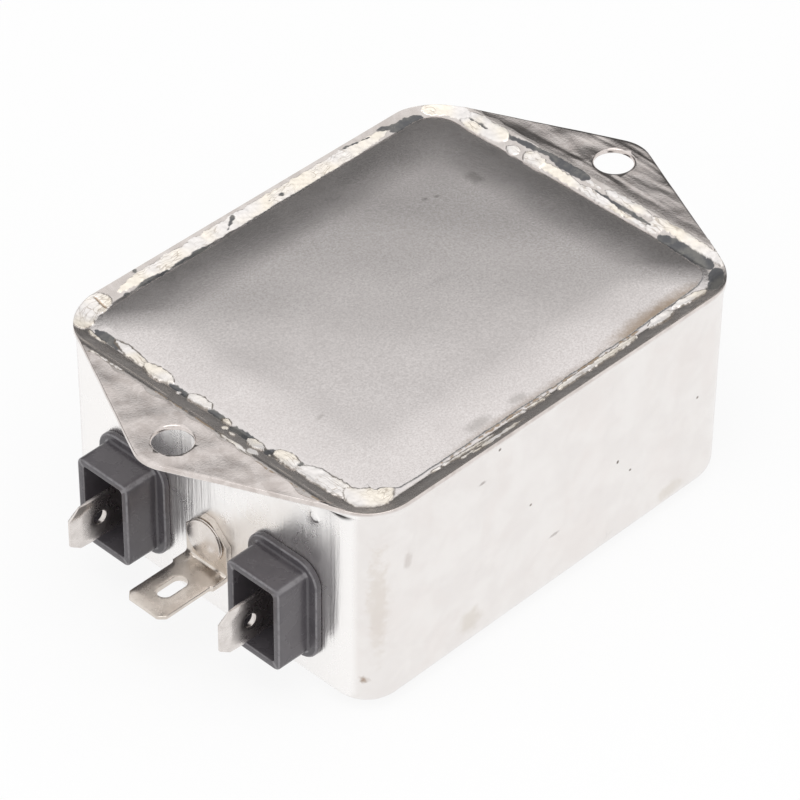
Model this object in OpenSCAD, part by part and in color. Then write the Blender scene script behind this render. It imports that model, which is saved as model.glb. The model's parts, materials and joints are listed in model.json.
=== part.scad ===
// EMI line filter in a drawn metal can with a soldered-in cover.
//
// The filter lies on the closed face of its can.  The origin is the middle of that face.
// X runs from the line end (-X) to the load end (+X), Y runs across the can and Z runs up
// to the open mouth, where the two fixing ears stand out and the cover is soldered in.
// All sizes are in millimetres.

/* [Can] */
// Length over the two end walls
can_length = 64; // [50:0.5:90]
// Width over the two long walls
can_width = 51.6; // [40:0.2:80]
// Height from the closed face to the top of the ears
can_height = 31.1; // [20:0.1:50]
// Thickness of the drawn sheet
sheet = 0.7; // [0.5:0.1:1.2]
// Outside radius of the four upright corners
corner_radius = 5.3; // [3:0.1:9]
// Outside radius around the closed face
base_radius = 3; // [1:0.1:5]

/* [Mouth and ears] */
// Draw radius of the sheet where it turns out over the mouth
mouth_radius = 2; // [1:0.1:4]
// Width of the flange after trimming
flange_width = 52.7; // [40:0.1:82]
// Distance between the two fixing holes
hole_spacing = 75; // [60:0.5:110]
// Diameter of a fixing hole
hole_diameter = 5; // [3:0.1:7]
// Radius of the rounded tip of an ear
ear_tip_radius = 4.75; // [4:0.05:8]
// Radius of the four flange corners
flange_corner_radius = 7; // [3:0.5:12]
// Distance from the middle to the centre of a flange corner
flange_corner_x = 25.8; // [15:0.1:40]

/* [Cover and solder] */
// Depth of the cover's top below the ears
cover_drop = 0.35; // [0:0.05:2]
// Height of the cover's turned-down rim
cover_depth = 4.5; // [2:0.1:8]
// Radius of the cover's rounded-over edge
cover_edge_radius = 1.5; // [0.8:0.1:3]
// Gap between the cover and the can before soldering
cover_gap = 0.1; // [0.05:0.05:0.4]
// Radius of the hollow in the top of the solder
solder_hollow = 1.9; // [1.2:0.1:4]

/* [Terminals] */
// Distance between the two terminals of one end
terminal_spacing = 25.4; // [18:0.1:34]
// Height of the terminals above the closed face
terminal_height = 12.1; // [8:0.1:22]
// Width of a terminal blade
blade_width = 6.3; // [4.8:0.1:9.5]
// Thickness of a terminal blade
blade_thickness = 0.8; // [0.5:0.1:1.2]
// How far a blade stands out from the end wall
blade_reach = 10.9; // [7:0.1:16]
// How far a blade runs on into the can
blade_tail = 5; // [3:0.5:10]
// Diameter of the locking hole in a blade
blade_hole = 1.9; // [1:0.1:2.5]
// How far a shroud stands out from the end wall
shroud_reach = 5.5; // [3:0.1:12]
// Outside width of a shroud
shroud_width = 8.6; // [6:0.1:14]
// Outside height of a shroud
shroud_height = 12.5; // [8:0.1:18]
// Wall thickness of a shroud
shroud_wall = 1; // [0.6:0.1:2]
// Width of the collar against the wall
collar_width = 11.4; // [8:0.1:18]
// Height of the collar against the wall
collar_height = 14.8; // [9:0.1:20]
// Thickness of the collar
collar_thickness = 0.85; // [0.4:0.05:2]

/* [Earth terminal] */
// Length of the earth blade measured from the end wall
earth_reach = 11.1; // [7:0.1:16]
// Height of the top of the earth blade above the closed face
earth_height = 9.05; // [5:0.05:20]
// Width of the foot and of the shoulders
earth_foot_width = 6.9; // [6:0.1:10]
// Height of the pointed top of the foot
earth_foot_top = 16.1; // [12:0.1:25]
// Length of the slot in the earth blade
earth_slot_length = 4.3; // [2:0.1:6]
// Width of the slot in the earth blade
earth_slot_width = 2.1; // [1:0.1:3]
// Diameter of the rivet head
rivet_head = 5.5; // [4:0.1:8]

/* [Inside] */
// Outside diameter of the ring core
core_outer = 27; // [16:0.5:34]
// Hole diameter of the ring core
core_inner = 14; // [8:0.5:20]
// Height of the ring core
core_height = 10; // [5:0.5:16]
// Diameter of the winding wire
wire = 1; // [0.5:0.1:1.6]
// Turns on each half of the ring core
turns = 9; // [4:1:14]
// Width of a box capacitor
box_width = 8.5; // [5:0.5:12]
// Length of a box capacitor
box_length = 26; // [13:0.5:32]
// Height of a box capacitor
box_height = 17; // [10:0.5:22]
// Diameter of a disc capacitor
disc_diameter = 9; // [6:0.5:14]
// Thickness of an insulating card
card = 0.3; // [0.2:0.05:0.6]

/* [Hidden] */

// Colours of the preview
plated = "#cfcac6";
satin = "#b4aeaa";
tin = "#e2ddd2";
black_plastic = "#2c2c2e";
ferrite = "#4a4d4c";
copper = "#b0703c";
yellow_box = "#d8b64a";
blue_disc = "#3f6da0";
card_white = "#e6dfcb";
resistor_beige = "#c9a878";

// Faces around the large, the middle and the small round forms
fn_large = 48;
fn_middle = 32;
fn_small = 20;
fn_wire = 8;

end_wall = can_length / 2;
inside_radius = corner_radius - sheet;
corner_x = can_length / 2 - corner_radius;
corner_y = can_width / 2 - corner_radius;
bend_z = can_height - mouth_radius;
cover_top = can_height - cover_drop;
cover_corner = inside_radius - cover_gap;
flange_corner_y = flange_width / 2 - flange_corner_radius;
hole_x = hole_spacing / 2;
blade_y = terminal_spacing / 2;
clearance = 0.05;
floor_z = sheet + card;
core_z = floor_z + wire * 1.03 + core_height / 2;
box_x = 21.5;
lead = 0.8;
thin_lead = 0.6;
disc_y = 19.5;
disc_pitch = 5;
disc_thickness = 3.5;
disc_z = floor_z + disc_diameter / 2;
box_top = floor_z + box_height;
blade_top = terminal_height + blade_width / 2;
bus_z = 24.6;
cross_z = 22.8;

can();
cover();
solder_seam();
shroud_line_live();
shroud_line_neutral();
shroud_load_live();
shroud_load_neutral();
tab_line_live();
tab_line_neutral();
tab_load_live();
tab_load_neutral();
earth_tab();
earth_rivet();
choke_core();
choke_divider();
winding_live();
winding_neutral();
x_capacitor_line();
x_capacitor_load();
y_capacitor_live();
y_capacitor_neutral();
bleed_resistor();
earth_lead();
card_bottom();
card_top();

// ---------------------------------------------------------------- outlines

// Rectangle with four round corners
module rounded_plan(length, width, radius) {
    square([length - 2 * radius, width], center = true);
    square([length, width - 2 * radius], center = true);
    for (x = [-1, 1], y = [-1, 1])
        translate([x * (length / 2 - radius), y * (width / 2 - radius)])
            circle(r = radius);
}

// Quarter of a disc in the lower right of its centre
module quarter_disc(radius) {
    intersection() {
        circle(r = radius);
        translate([0, -radius]) square(radius);
    }
}

// Half a section of a drawn block, from its axis outwards
module half_section(radius, height, edge) {
    square([radius - edge, height]);
    translate([0, edge]) square([radius, height - edge]);
    translate([radius - edge, edge]) quarter_disc(edge);
}

// Whole section of a drawn block
module whole_section(width, height, edge) {
    half_section(width / 2, height, edge);
    mirror([1, 0]) half_section(width / 2, height, edge);
}

// Block with round upright corners and a round lower edge
module drawn_block(length, width, height, radius, edge) {
    for (x = [-1, 1], y = [-1, 1])
        translate([x * (length / 2 - radius), y * (width / 2 - radius), 0])
            rotate_extrude($fn = fn_large) half_section(radius, height, edge, $fn = fn_middle);
    rotate([90, 0, 90])
        linear_extrude(length - 2 * radius, center = true)
            whole_section(width, height, edge, $fn = fn_middle);
    rotate([90, 0, 0])
        linear_extrude(width - 2 * radius, center = true)
            whole_section(length, height, edge, $fn = fn_middle);
}

// Carries a section around the mouth.  The section's x is the distance from the centre
// of an upright corner and its y is the height.
module around_mouth() {
    for (a = [0:3])
        translate([(a == 0 || a == 3 ? 1 : -1) * corner_x, (a < 2 ? 1 : -1) * corner_y, 0])
            rotate([0, 0, 90 * a]) rotate_extrude(angle = 90, $fn = fn_large) children();
    for (s = [0, 180]) {
        rotate([0, 0, s]) translate([corner_x, 0, 0]) rotate([90, 0, 0])
            linear_extrude(2 * corner_y, center = true) children();
        rotate([0, 0, s + 90]) translate([corner_y, 0, 0]) rotate([90, 0, 0])
            linear_extrude(2 * corner_x, center = true) children();
    }
}

// ---------------------------------------------------------------- can

// Point where the straight edge of an ear leaves a circle of the given radius
function edge_angle() =
    let (dx = hole_x - flange_corner_x, dy = -flange_corner_y)
    atan2(dy, dx) + acos((flange_corner_radius - ear_tip_radius) / norm([dx, dy]));
function on_circle(x, y, r, a) = [x + r * cos(a), y + r * sin(a)];

// Trimmed outline of the flange with its two ears
module flange_outline() {
    a = edge_angle();
    corner = on_circle(flange_corner_x, flange_corner_y, flange_corner_radius, a);
    tip = on_circle(hole_x, 0, ear_tip_radius, a);
    side = [flange_corner_x, flange_width / 2];
    polygon([
        [-side[0], side[1]], side, corner, tip,
        [tip[0], -tip[1]], [corner[0], -corner[1]], [side[0], -side[1]],
        [-side[0], -side[1]], [-corner[0], -corner[1]], [-tip[0], -tip[1]],
        [-tip[0], tip[1]], [-corner[0], corner[1]]
    ]);
    for (x = [-1, 1]) {
        translate([x * hole_x, 0]) circle(r = ear_tip_radius);
        for (y = [-1, 1])
            translate([x * flange_corner_x, y * flange_corner_y])
                circle(r = flange_corner_radius);
    }
}

// Section of the sheet as it turns out over the mouth
module bend_section() {
    translate([inside_radius + mouth_radius, bend_z])
        intersection() {
            difference() {
                circle(r = mouth_radius);
                circle(r = mouth_radius - sheet);
            }
            translate([-mouth_radius, 0]) square(mouth_radius);
        }
}

module mouth() {
    intersection() {
        translate([0, 0, bend_z]) linear_extrude(mouth_radius) flange_outline($fn = 64);
        around_mouth() bend_section($fn = fn_middle);
    }
    translate([0, 0, can_height - sheet])
        linear_extrude(sheet)
            difference() {
                flange_outline($fn = 64);
                rounded_plan(
                    can_length - 2 * sheet + 2 * mouth_radius,
                    can_width - 2 * sheet + 2 * mouth_radius,
                    inside_radius + mouth_radius, $fn = fn_large
                );
            }
}

// Opening for a terminal, cut along X
module terminal_opening(side) {
    translate([0, side * blade_y, terminal_height])
        rotate([90, 0, 90])
            linear_extrude(can_length + 10, center = true)
                rounded_plan(shroud_width - 0.2, shroud_height - 0.2, 0.9, $fn = fn_small);
}

module can() {
    color(plated)
    difference() {
        union() {
            difference() {
                union() {
                    drawn_block(can_length, can_width, bend_z, corner_radius, base_radius);
                    translate([-end_wall + 0.95, -17.4, 26.9]) sphere(r = 1.2, $fn = fn_middle);
                }
                translate([0, 0, sheet])
                    drawn_block(
                        can_length - 2 * sheet, can_width - 2 * sheet, bend_z,
                        inside_radius, base_radius - sheet
                    );
            }
            mouth();
        }
        for (x = [-1, 1])
            translate([x * hole_x, 0, can_height - 2 * sheet])
                cylinder(d = hole_diameter, h = 3 * sheet, $fn = fn_large);
        for (side = [-1, 1]) terminal_opening(side);
        translate([-end_wall - 1, 0, rivet_z()]) rotate([0, 90, 0])
            cylinder(d = 3, h = 3, $fn = fn_small);
    }
}

// ---------------------------------------------------------------- cover and solder

module cover() {
    color(satin)
    translate([0, 0, cover_top]) rotate([180, 0, 0])
        difference() {
            drawn_block(
                2 * (corner_x + cover_corner), 2 * (corner_y + cover_corner), cover_depth,
                cover_corner, cover_edge_radius
            );
            translate([0, 0, sheet])
                drawn_block(
                    2 * (corner_x + cover_corner - sheet), 2 * (corner_y + cover_corner - sheet),
                    cover_depth, cover_corner - sheet, cover_edge_radius - sheet
                );
        }
}

// Groove between the cover's edge and the turned-out mouth
module groove_section(low, high) {
    difference() {
        translate([inside_radius - 1.3, low]) square([2.1, high - low]);
        translate([inside_radius + mouth_radius, bend_z]) circle(r = mouth_radius);
        translate([inside_radius, 0]) square([mouth_radius, bend_z]);
        translate([cover_corner - cover_edge_radius, cover_top - cover_edge_radius])
            circle(r = cover_edge_radius);
        square([cover_corner, cover_top - cover_edge_radius]);
    }
}

// Pools of solder standing proud along the seam
module solder_pools() {
    seam_x = end_wall - sheet - 0.2;
    seam_y = can_width / 2 - sheet - 0.2;
    corner = [corner_x + 3, corner_y + 3];
    for (y = [-16, -12, 3, 11]) pool(-seam_x, y, 9);
    for (y = [-16, -7, 6, 14]) pool(seam_x, y, 8);
    for (x = [-14, 2, 11, 21]) pool(x, -seam_y, 7);
    for (x = [-19, -2, 17]) pool(x, seam_y, 9);
    pool(-corner[0], -corner[1], 12);
    pool(corner[0], -corner[1], 8);
}

module pool(x, y, radius) {
    translate([x, y, cover_top - 0.05 - radius]) sphere(r = radius, $fn = 64);
}

module solder_seam() {
    color(tin) {
        around_mouth()
            difference() {
                groove_section(bend_z - 0.2, cover_top - 0.03, $fn = fn_large);
                translate([inside_radius - 0.25, cover_top - 0.4 + solder_hollow])
                    circle(r = solder_hollow, $fn = fn_large);
            }
        intersection() {
            solder_pools();
            around_mouth() groove_section(bend_z + 0.3, cover_top - 0.03, $fn = fn_large);
        }
    }
}

// ---------------------------------------------------------------- terminals

// Shroud seen from its own wall: +X points away from the can
module shroud() {
    color(black_plastic)
    translate([end_wall, 0, terminal_height]) rotate([90, 0, 90])
        difference() {
            union() {
                linear_extrude(collar_thickness)
                    rounded_plan(collar_width, collar_height, 3, $fn = fn_middle);
                linear_extrude(shroud_reach)
                    rounded_plan(shroud_width, shroud_height, 1, $fn = fn_small);
                translate([0, 0, -sheet - 1.4]) linear_extrude(sheet + 1.4)
                    rounded_plan(
                        shroud_width - 0.2 - 2 * clearance, shroud_height - 0.2 - 2 * clearance,
                        0.9 - clearance, $fn = fn_small
                    );
                for (y = [-1, 1])
                    translate([0, y * (shroud_height / 2 - 0.15), -sheet - 0.3])
                        rotate([0, 90, 0]) snap_hook(y);
            }
            translate([0, 0, 0.4]) linear_extrude(shroud_reach)
                rounded_plan(
                    shroud_width - 2 * shroud_wall, shroud_height - 2 * shroud_wall, 0.5,
                    $fn = fn_small
                );
            translate([0, 0, -3]) linear_extrude(6)
                square([blade_thickness + 0.1, blade_width + 0.1], center = true);
        }
}

// Wedge that holds a shroud behind the wall
module snap_hook(side) {
    linear_extrude(4, center = true)
        polygon([[clearance - 0.3, 0], [clearance - 0.3, side * 0.7], [1.1, 0], [1.1, -side * 0.3],
                 [clearance - 0.3, -side * 0.3]]);
}

// Blade seen from its own wall, standing on edge
module blade() {
    color(tin)
    translate([0, 0, terminal_height]) rotate([90, 0, 0])
        linear_extrude(blade_thickness, center = true)
            difference() {
                polygon([
                    [end_wall - blade_tail, -2.2], [end_wall - blade_tail, 2.2],
                    [end_wall - 2.6, 2.2], [end_wall - 2.6, blade_width / 2],
                    [end_wall + blade_reach - 1.6, blade_width / 2],
                    [end_wall + blade_reach, blade_width / 2 - 1.2],
                    [end_wall + blade_reach, 1.2 - blade_width / 2],
                    [end_wall + blade_reach - 1.6, -blade_width / 2],
                    [end_wall - 2.6, -blade_width / 2], [end_wall - 2.6, -2.2]
                ]);
                translate([end_wall + blade_reach - 4.6, 0]) circle(d = blade_hole, $fn = fn_small);
                translate([end_wall - blade_tail + 1.4, 0]) circle(d = 1.4, $fn = fn_small);
            }
}

module shroud_line_live() translate([0, -blade_y, 0]) rotate([0, 0, 180]) shroud();
module shroud_line_neutral() translate([0, blade_y, 0]) rotate([0, 0, 180]) shroud();
module shroud_load_live() translate([0, -blade_y, 0]) shroud();
module shroud_load_neutral() translate([0, blade_y, 0]) shroud();
module tab_line_live() translate([0, -blade_y, 0]) rotate([0, 0, 180]) blade();
module tab_line_neutral() translate([0, blade_y, 0]) rotate([0, 0, 180]) blade();
module tab_load_live() translate([0, -blade_y, 0]) blade();
module tab_load_neutral() translate([0, blade_y, 0]) blade();

// ---------------------------------------------------------------- earth terminal

function rivet_z() = earth_foot_top - 3.1;

// Bent strip seen from the side: u runs out from the wall and v runs up
module earth_side() {
    inner = 0.4;
    outer = inner + blade_thickness;
    translate([0, earth_height + inner])
        square([blade_thickness, earth_foot_top - earth_height - inner]);
    translate([outer, earth_height - blade_thickness])
        square([earth_reach - outer, blade_thickness]);
    translate([outer, earth_height + inner])
        intersection() {
            difference() {
                circle(r = outer);
                circle(r = inner);
            }
            translate([-outer, -outer]) square(outer);
        }
}

// Strip seen square on to the blade and to the foot
module earth_plan() {
    neck = 3.3;
    half = earth_foot_width / 2;
    tip = blade_width / 2;
    difference() {
        polygon([
            [-1, half], [neck, half], [neck, tip], [earth_reach - 0.8, tip],
            [earth_reach, tip - 0.8], [earth_reach, 0.8 - tip], [earth_reach - 0.8, -tip],
            [neck, -tip], [neck, -half], [-1, -half]
        ]);
        for (s = [-1, 1])
            translate([6.4 + s * (earth_slot_length - earth_slot_width) / 2, 0])
                circle(d = earth_slot_width, $fn = fn_small);
        translate([6.4, 0])
            square([earth_slot_length - earth_slot_width, earth_slot_width], center = true);
    }
}

module earth_foot() {
    half = earth_foot_width / 2;
    slope = 2.7;
    difference() {
        polygon([
            [-half, 0], [half, 0], [half, earth_foot_top - slope],
            [0.75, earth_foot_top], [-0.75, earth_foot_top], [-half, earth_foot_top - slope]
        ]);
        translate([0, rivet_z()]) circle(d = 3, $fn = fn_small);
    }
}

module earth_tab() {
    color(tin)
    translate([-end_wall, 0, 0]) rotate([0, 0, 180])
        intersection() {
            union() {
                rotate([90, 0, 0])
                    linear_extrude(earth_foot_width, center = true) earth_side($fn = fn_middle);
                for (s = [-1, 1])
                    translate([1.15, s * 2.55, earth_height + 0.35]) sphere(r = 0.7, $fn = fn_small);
            }
            linear_extrude(40) earth_plan();
            translate([-1, 0, 0]) rotate([90, 0, 90]) linear_extrude(40) earth_foot();
        }
}

// Rivet seen from the wall's inner face outwards
module earth_rivet() {
    face = sheet + blade_thickness;
    dome = 0.55;
    rim = rivet_head / 2;
    ball = (rim * rim + dome * dome) / (2 * dome);
    color(tin)
    translate([-end_wall + sheet, 0, rivet_z()]) rotate([0, -90, 0])
        rotate_extrude($fn = fn_large) {
            translate([0, -0.9]) square([2.3, 0.9]);
            translate([0, -0.1]) square([1.45, face + 0.3]);
            translate([0, face]) square([rim + 0.1, 0.2]);
            translate([0, face + 0.1]) square([rim - 0.25, 0.3]);
            translate([0, face + 0.3]) square([rim, 0.15]);
            translate([0, face + 0.45 + dome - ball])
                intersection() {
                    circle(r = ball, $fn = 96);
                    translate([0, ball - dome]) square([rim, dome]);
                }
        }
}

// ---------------------------------------------------------------- inside

// Round wire through the given points
module wire_run(points, d) {
    for (i = [0:len(points) - 2]) {
        v = points[i + 1] - points[i];
        over = i < len(points) - 2 ? 0.42 * d : 0;
        under = i > 0 ? 0.42 * d : 0;
        translate(points[i])
            rotate([0, acos(v[2] / norm(v)), atan2(v[1], v[0])])
                translate([0, 0, -under])
                    cylinder(d = d, h = norm(v) + under + over, $fn = fn_wire);
    }
}

module choke_core() {
    color(ferrite)
    translate([0, 0, core_z])
        rotate_extrude($fn = fn_large)
            translate([(core_outer + core_inner) / 4, 0])
                rounded_plan((core_outer - core_inner) / 2, core_height, 1, $fn = 16);
}

module choke_divider() {
    color(card_white)
    translate([0, 0, core_z])
        cube([core_inner - 0.06, 1.2, core_height + 2.06 * wire], center = true);
}

// One winding: turns over the half of the ring on the -Y side, then a lead to each end
module winding() {
    ri = core_inner / 2 - 0.53 * wire;
    ro = core_outer / 2 + 0.53 * wire;
    zl = core_z - core_height / 2 - 0.53 * wire;
    zh = core_z + core_height / 2 + 0.53 * wire;
    span = 130;
    step = span / (turns - 1);
    first = 270 - span / 2;
    function turn(k) =
        let (a = first + k * step, b = a + step)
        [[ro * cos(a), ro * sin(a), zl], [ro * cos(a), ro * sin(a), zh],
         [ri * cos(a), ri * sin(a), zh], [ri * cos(a), ri * sin(a), zl]];
    last = turn(turns - 1);
    start = turn(0)[1];
    finish = [last[0][0], last[0][1], zh];
    coil = [for (k = [0:turns - 1], p = turn(k)) p];
    wire_run([for (i = [1:len(coil) - 1]) coil[i]], wire);
    wire_run([last[3], last[0], [last[0][0], last[0][1], zh - wire]], wire);
    wire_run([
        coil[2], start, [start[0], start[1], cross_z],
        [-end_wall + 3.25, -blade_y, cross_z], [-end_wall + 3.25, -blade_y, blade_top - 0.93]
    ], wire);
    wire_run([
        [finish[0], finish[1], zh - wire * 1.4], [finish[0], finish[1], cross_z],
        [end_wall - 3.25, -blade_y, cross_z], [end_wall - 3.25, -blade_y, blade_top - 0.93]
    ], wire);
}

module winding_live() color(copper) winding();
module winding_neutral() color(copper) rotate([0, 0, 180]) winding();

// Box capacitor of the line end; its two leads reach the blades
module box_capacitor() {
    color(yellow_box)
    translate([-box_x, 0, floor_z])
        linear_extrude(box_height) rounded_plan(box_width, box_length, 0.8, $fn = 16);
    color(tin)
    for (s = [-1, 1])
        wire_run([
            [-box_x, s * 11.25, box_top - 0.5], [-box_x, s * 11.25, box_top + 2.5],
            [-end_wall + 4.3, s * blade_y, box_top + 2.5],
            [-end_wall + 4.3, s * blade_y, blade_top - 0.93]
        ], lead);
}

module x_capacitor_line() box_capacitor();
module x_capacitor_load() rotate([0, 0, 180]) box_capacitor();

// Disc capacitor on the -Y side
module disc_capacitor() {
    color(blue_disc)
    translate([-box_x, -disc_y, disc_z]) rotate([90, 0, 0])
        rotate_extrude($fn = fn_middle) {
            square([disc_diameter / 2 - 1, disc_thickness], center = false);
            translate([0, 1]) square([disc_diameter / 2, disc_thickness - 2]);
            translate([disc_diameter / 2 - 1, 1]) circle(r = 1, $fn = 16);
            translate([disc_diameter / 2 - 1, disc_thickness - 1]) circle(r = 1, $fn = 16);
        }
    color(tin) {
        y = -disc_y - disc_thickness / 2;
        x = -box_x - disc_pitch / 2;
        wire_run([
            [x, y, disc_z], [x, y, terminal_height],
            [-end_wall + 4.2, -blade_y - blade_thickness / 2 - 0.16, terminal_height]
        ], thin_lead);
        wire_run([
            [x + disc_pitch, y, disc_z], [x + disc_pitch, y, bus_z - 0.7]
        ], thin_lead);
    }
}

module y_capacitor_live() disc_capacitor();
module y_capacitor_neutral() mirror([0, 1, 0]) disc_capacitor();

module bleed_resistor() {
    z = box_top + 1.65;
    color(resistor_beige)
    translate([box_x, 0, z]) rotate([90, 0, 0]) {
        cylinder(d = 2.7, h = 9, center = true, $fn = fn_small);
        for (s = [-1, 1])
            translate([0, 0, s * 3.6]) cylinder(d = 3.2, h = 1.9, center = true, $fn = fn_small);
    }
    color(tin)
    for (s = [-1, 1])
        wire_run([[box_x, s * 4, z], [box_x, s * (11.25 - lead / 2 - 0.02), z]], thin_lead);
}

// Bus wire between the two disc capacitors with a drop to the earth rivet
module earth_lead() {
    y = disc_y + disc_thickness / 2;
    x = -box_x + disc_pitch / 2;
    color(copper) {
        wire_run([[x, -y - 0.6, bus_z], [x, y + 0.6, bus_z]], wire);
        wire_run([
            [x, 0, bus_z], [-end_wall + sheet + 1.45, 0, bus_z],
            [-end_wall + sheet + 1.45, 0, rivet_z()]
        ], wire);
    }
}

module card_bottom() {
    color(card_white)
    translate([0, 0, sheet]) linear_extrude(card)
        rounded_plan(can_length - 6.4, can_width - 6.4, 3, $fn = fn_small);
}

module card_top() {
    color(card_white)
    translate([0, 0, cover_top - cover_depth - card]) linear_extrude(card)
        rounded_plan(can_length - 2, can_width - 2, 4, $fn = fn_small);
}
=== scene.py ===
"""Looks of a power line filter in a drawn metal can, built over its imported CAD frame.

The can, its cover, the solder round the cover, the shrouds, the blades and the rivet are
surfaces worked out with numpy from the same sizes as the CAD.  Sizes inside the classes are in
millimetres and become metres when a mesh is made.  X runs from the line end to the load end, Y
across the can and Z up from its closed face.
"""

import json
import logging
import math
from dataclasses import dataclass, field
from enum import Enum

import bmesh
import bpy
import numpy as np
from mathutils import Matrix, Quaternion, Vector
from mathutils.geometry import delaunay_2d_cdt

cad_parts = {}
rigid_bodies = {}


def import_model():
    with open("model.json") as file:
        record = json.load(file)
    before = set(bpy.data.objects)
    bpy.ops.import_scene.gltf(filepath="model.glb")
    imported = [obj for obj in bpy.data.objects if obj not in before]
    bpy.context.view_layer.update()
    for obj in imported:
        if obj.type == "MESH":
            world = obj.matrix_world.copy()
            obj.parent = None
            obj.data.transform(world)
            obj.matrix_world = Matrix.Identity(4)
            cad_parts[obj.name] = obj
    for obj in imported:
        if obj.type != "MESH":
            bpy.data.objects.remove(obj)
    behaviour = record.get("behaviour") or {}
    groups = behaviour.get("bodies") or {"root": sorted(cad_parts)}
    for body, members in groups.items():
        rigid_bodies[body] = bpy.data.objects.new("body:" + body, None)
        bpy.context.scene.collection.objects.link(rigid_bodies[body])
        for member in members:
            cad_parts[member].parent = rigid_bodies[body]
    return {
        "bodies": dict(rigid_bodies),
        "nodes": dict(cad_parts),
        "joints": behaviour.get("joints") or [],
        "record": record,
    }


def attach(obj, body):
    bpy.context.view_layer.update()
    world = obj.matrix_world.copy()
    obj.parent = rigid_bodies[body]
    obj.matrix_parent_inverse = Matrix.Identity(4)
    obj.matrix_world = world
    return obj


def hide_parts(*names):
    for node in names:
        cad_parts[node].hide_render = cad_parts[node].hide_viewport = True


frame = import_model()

LOG = logging.getLogger("line_filter")
MM = 0.001
WALL_X = 32.0  # outside of the end walls
SIDE_Y = 12.7  # the blades' distance from the middle
ROW_Z = 12.1  # height of the blades' middle
PIP = (-WALL_X, -17.4, 26.9)  # small round pip on the line end
Array = np.ndarray
Triple = tuple[float, float, float]  # a colour, a place or three sizes


class Edge(Enum):
    """The four sides of the can's mouth, by the way they face."""

    LOAD = "+x"
    NEUTRAL = "+y"
    LINE = "-x"
    LIVE = "-y"


class Mark(Enum):
    """What a patch of the solder seam looks like."""

    FROSTED = "frosted"
    DARK = "dark"
    FLUX = "flux"
    OUTLINE = "outline"


# ------------------------------------------------------------------ shape helpers


def smooth_step(low: float, high: float, value: Array) -> Array:
    """Rises from 0 at low to 1 at high along 3t^2 - 2t^3.

    Args:
        low: Value where the step starts.
        high: Value where it ends.
        value: The numbers to step.

    Returns:
        The step of each number.
    """
    t = np.clip((value - low) / (high - low), 0.0, 1.0)
    return t * t * (3.0 - 2.0 * t)


class Ripple:
    """Seeded waviness in space: the sum of sine waves of random direction and phase."""

    def __init__(self, seed: int, length: float, waves: int = 20) -> None:
        """Draws the waves.

        Args:
            seed: Seed of the draws.
            length: Middle wave length in millimetres.
            waves: Number of waves.
        """
        draws = np.random.default_rng(seed)
        heading = draws.normal(size=(waves, 3))
        heading /= np.linalg.norm(heading, axis=1, keepdims=True)
        lengths = length * draws.uniform(0.6, 1.7, waves)
        self.pull = heading * (2.0 * np.pi / lengths)[:, None]
        self.phase = draws.uniform(0.0, 2.0 * np.pi, waves)
        self.share = math.sqrt(2.0 / waves) * 0.6

    def at(self, points: Array) -> Array:
        """The waviness at each point, mostly between -1 and 1."""
        return np.sin(points @ self.pull.T + self.phase).sum(-1) * self.share


@dataclass(frozen=True)
class Ring:
    """Closed rounded rectangle as shares of its size, from the middle of its +X side.

    A point is (side * (half size - radius) + normal * radius), so that rings of any size and
    radius share their steps and can be joined into one surface.
    """

    side: Array
    normal: Array

    @staticmethod
    def make(steps_x: int, steps_y: int, corner: int) -> "Ring":
        """Makes the ring.

        Args:
            steps_x: Steps along each side that runs in X.
            steps_y: Steps along each side that runs in Y.
            corner: Steps round each corner.

        Returns:
            The ring, its first point repeated at its end.
        """
        side, normal = [], []
        down = np.linspace(1.0, -1.0, steps_x + 1)[:-1]
        across = np.linspace(1.0, -1.0, steps_y + 1)[:-1]
        half = np.linspace(0.0, 1.0, steps_y // 2 + 1)[:-1]

        def run(x: Array, y: Array, angle: Array) -> None:
            side.append(np.stack(np.broadcast_arrays(x, y), -1))
            turned = np.broadcast_to(angle, side[-1].shape[:1])
            normal.append(np.stack([np.cos(turned), np.sin(turned)], -1))

        bend = np.linspace(0.0, np.pi / 2, corner + 1)[:-1]
        one = np.ones(corner)
        run(np.float64(1.0), half, np.float64(0.0))
        run(one, one, bend)
        run(down, np.float64(1.0), np.float64(np.pi / 2))
        run(-one, one, bend + np.pi / 2)
        run(np.float64(-1.0), across, np.float64(np.pi))
        run(-one, -one, bend + np.pi)
        run(-down, np.float64(-1.0), np.float64(1.5 * np.pi))
        run(one, -one, bend + 1.5 * np.pi)
        run(np.float64(1.0), half - 1.0, np.float64(0.0))
        run(np.float64(1.0), np.zeros(1), np.float64(0.0))
        return Ring(np.concatenate(side), np.concatenate(normal))

    def plan(self, half_x: Array, half_y: Array, radius: Array) -> Array:
        """Points of the ring for sizes that may change along a second direction.

        Args:
            half_x: Half lengths.
            half_y: Half widths.
            radius: Corner radii.

        Returns:
            The X and Y of each point, one row for each step of the ring.
        """
        x = self.side[:, :1] * (half_x - radius) + self.normal[:, :1] * radius
        y = self.side[:, 1:] * (half_y - radius) + self.normal[:, 1:] * radius
        return np.stack([x, y], -1)


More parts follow.
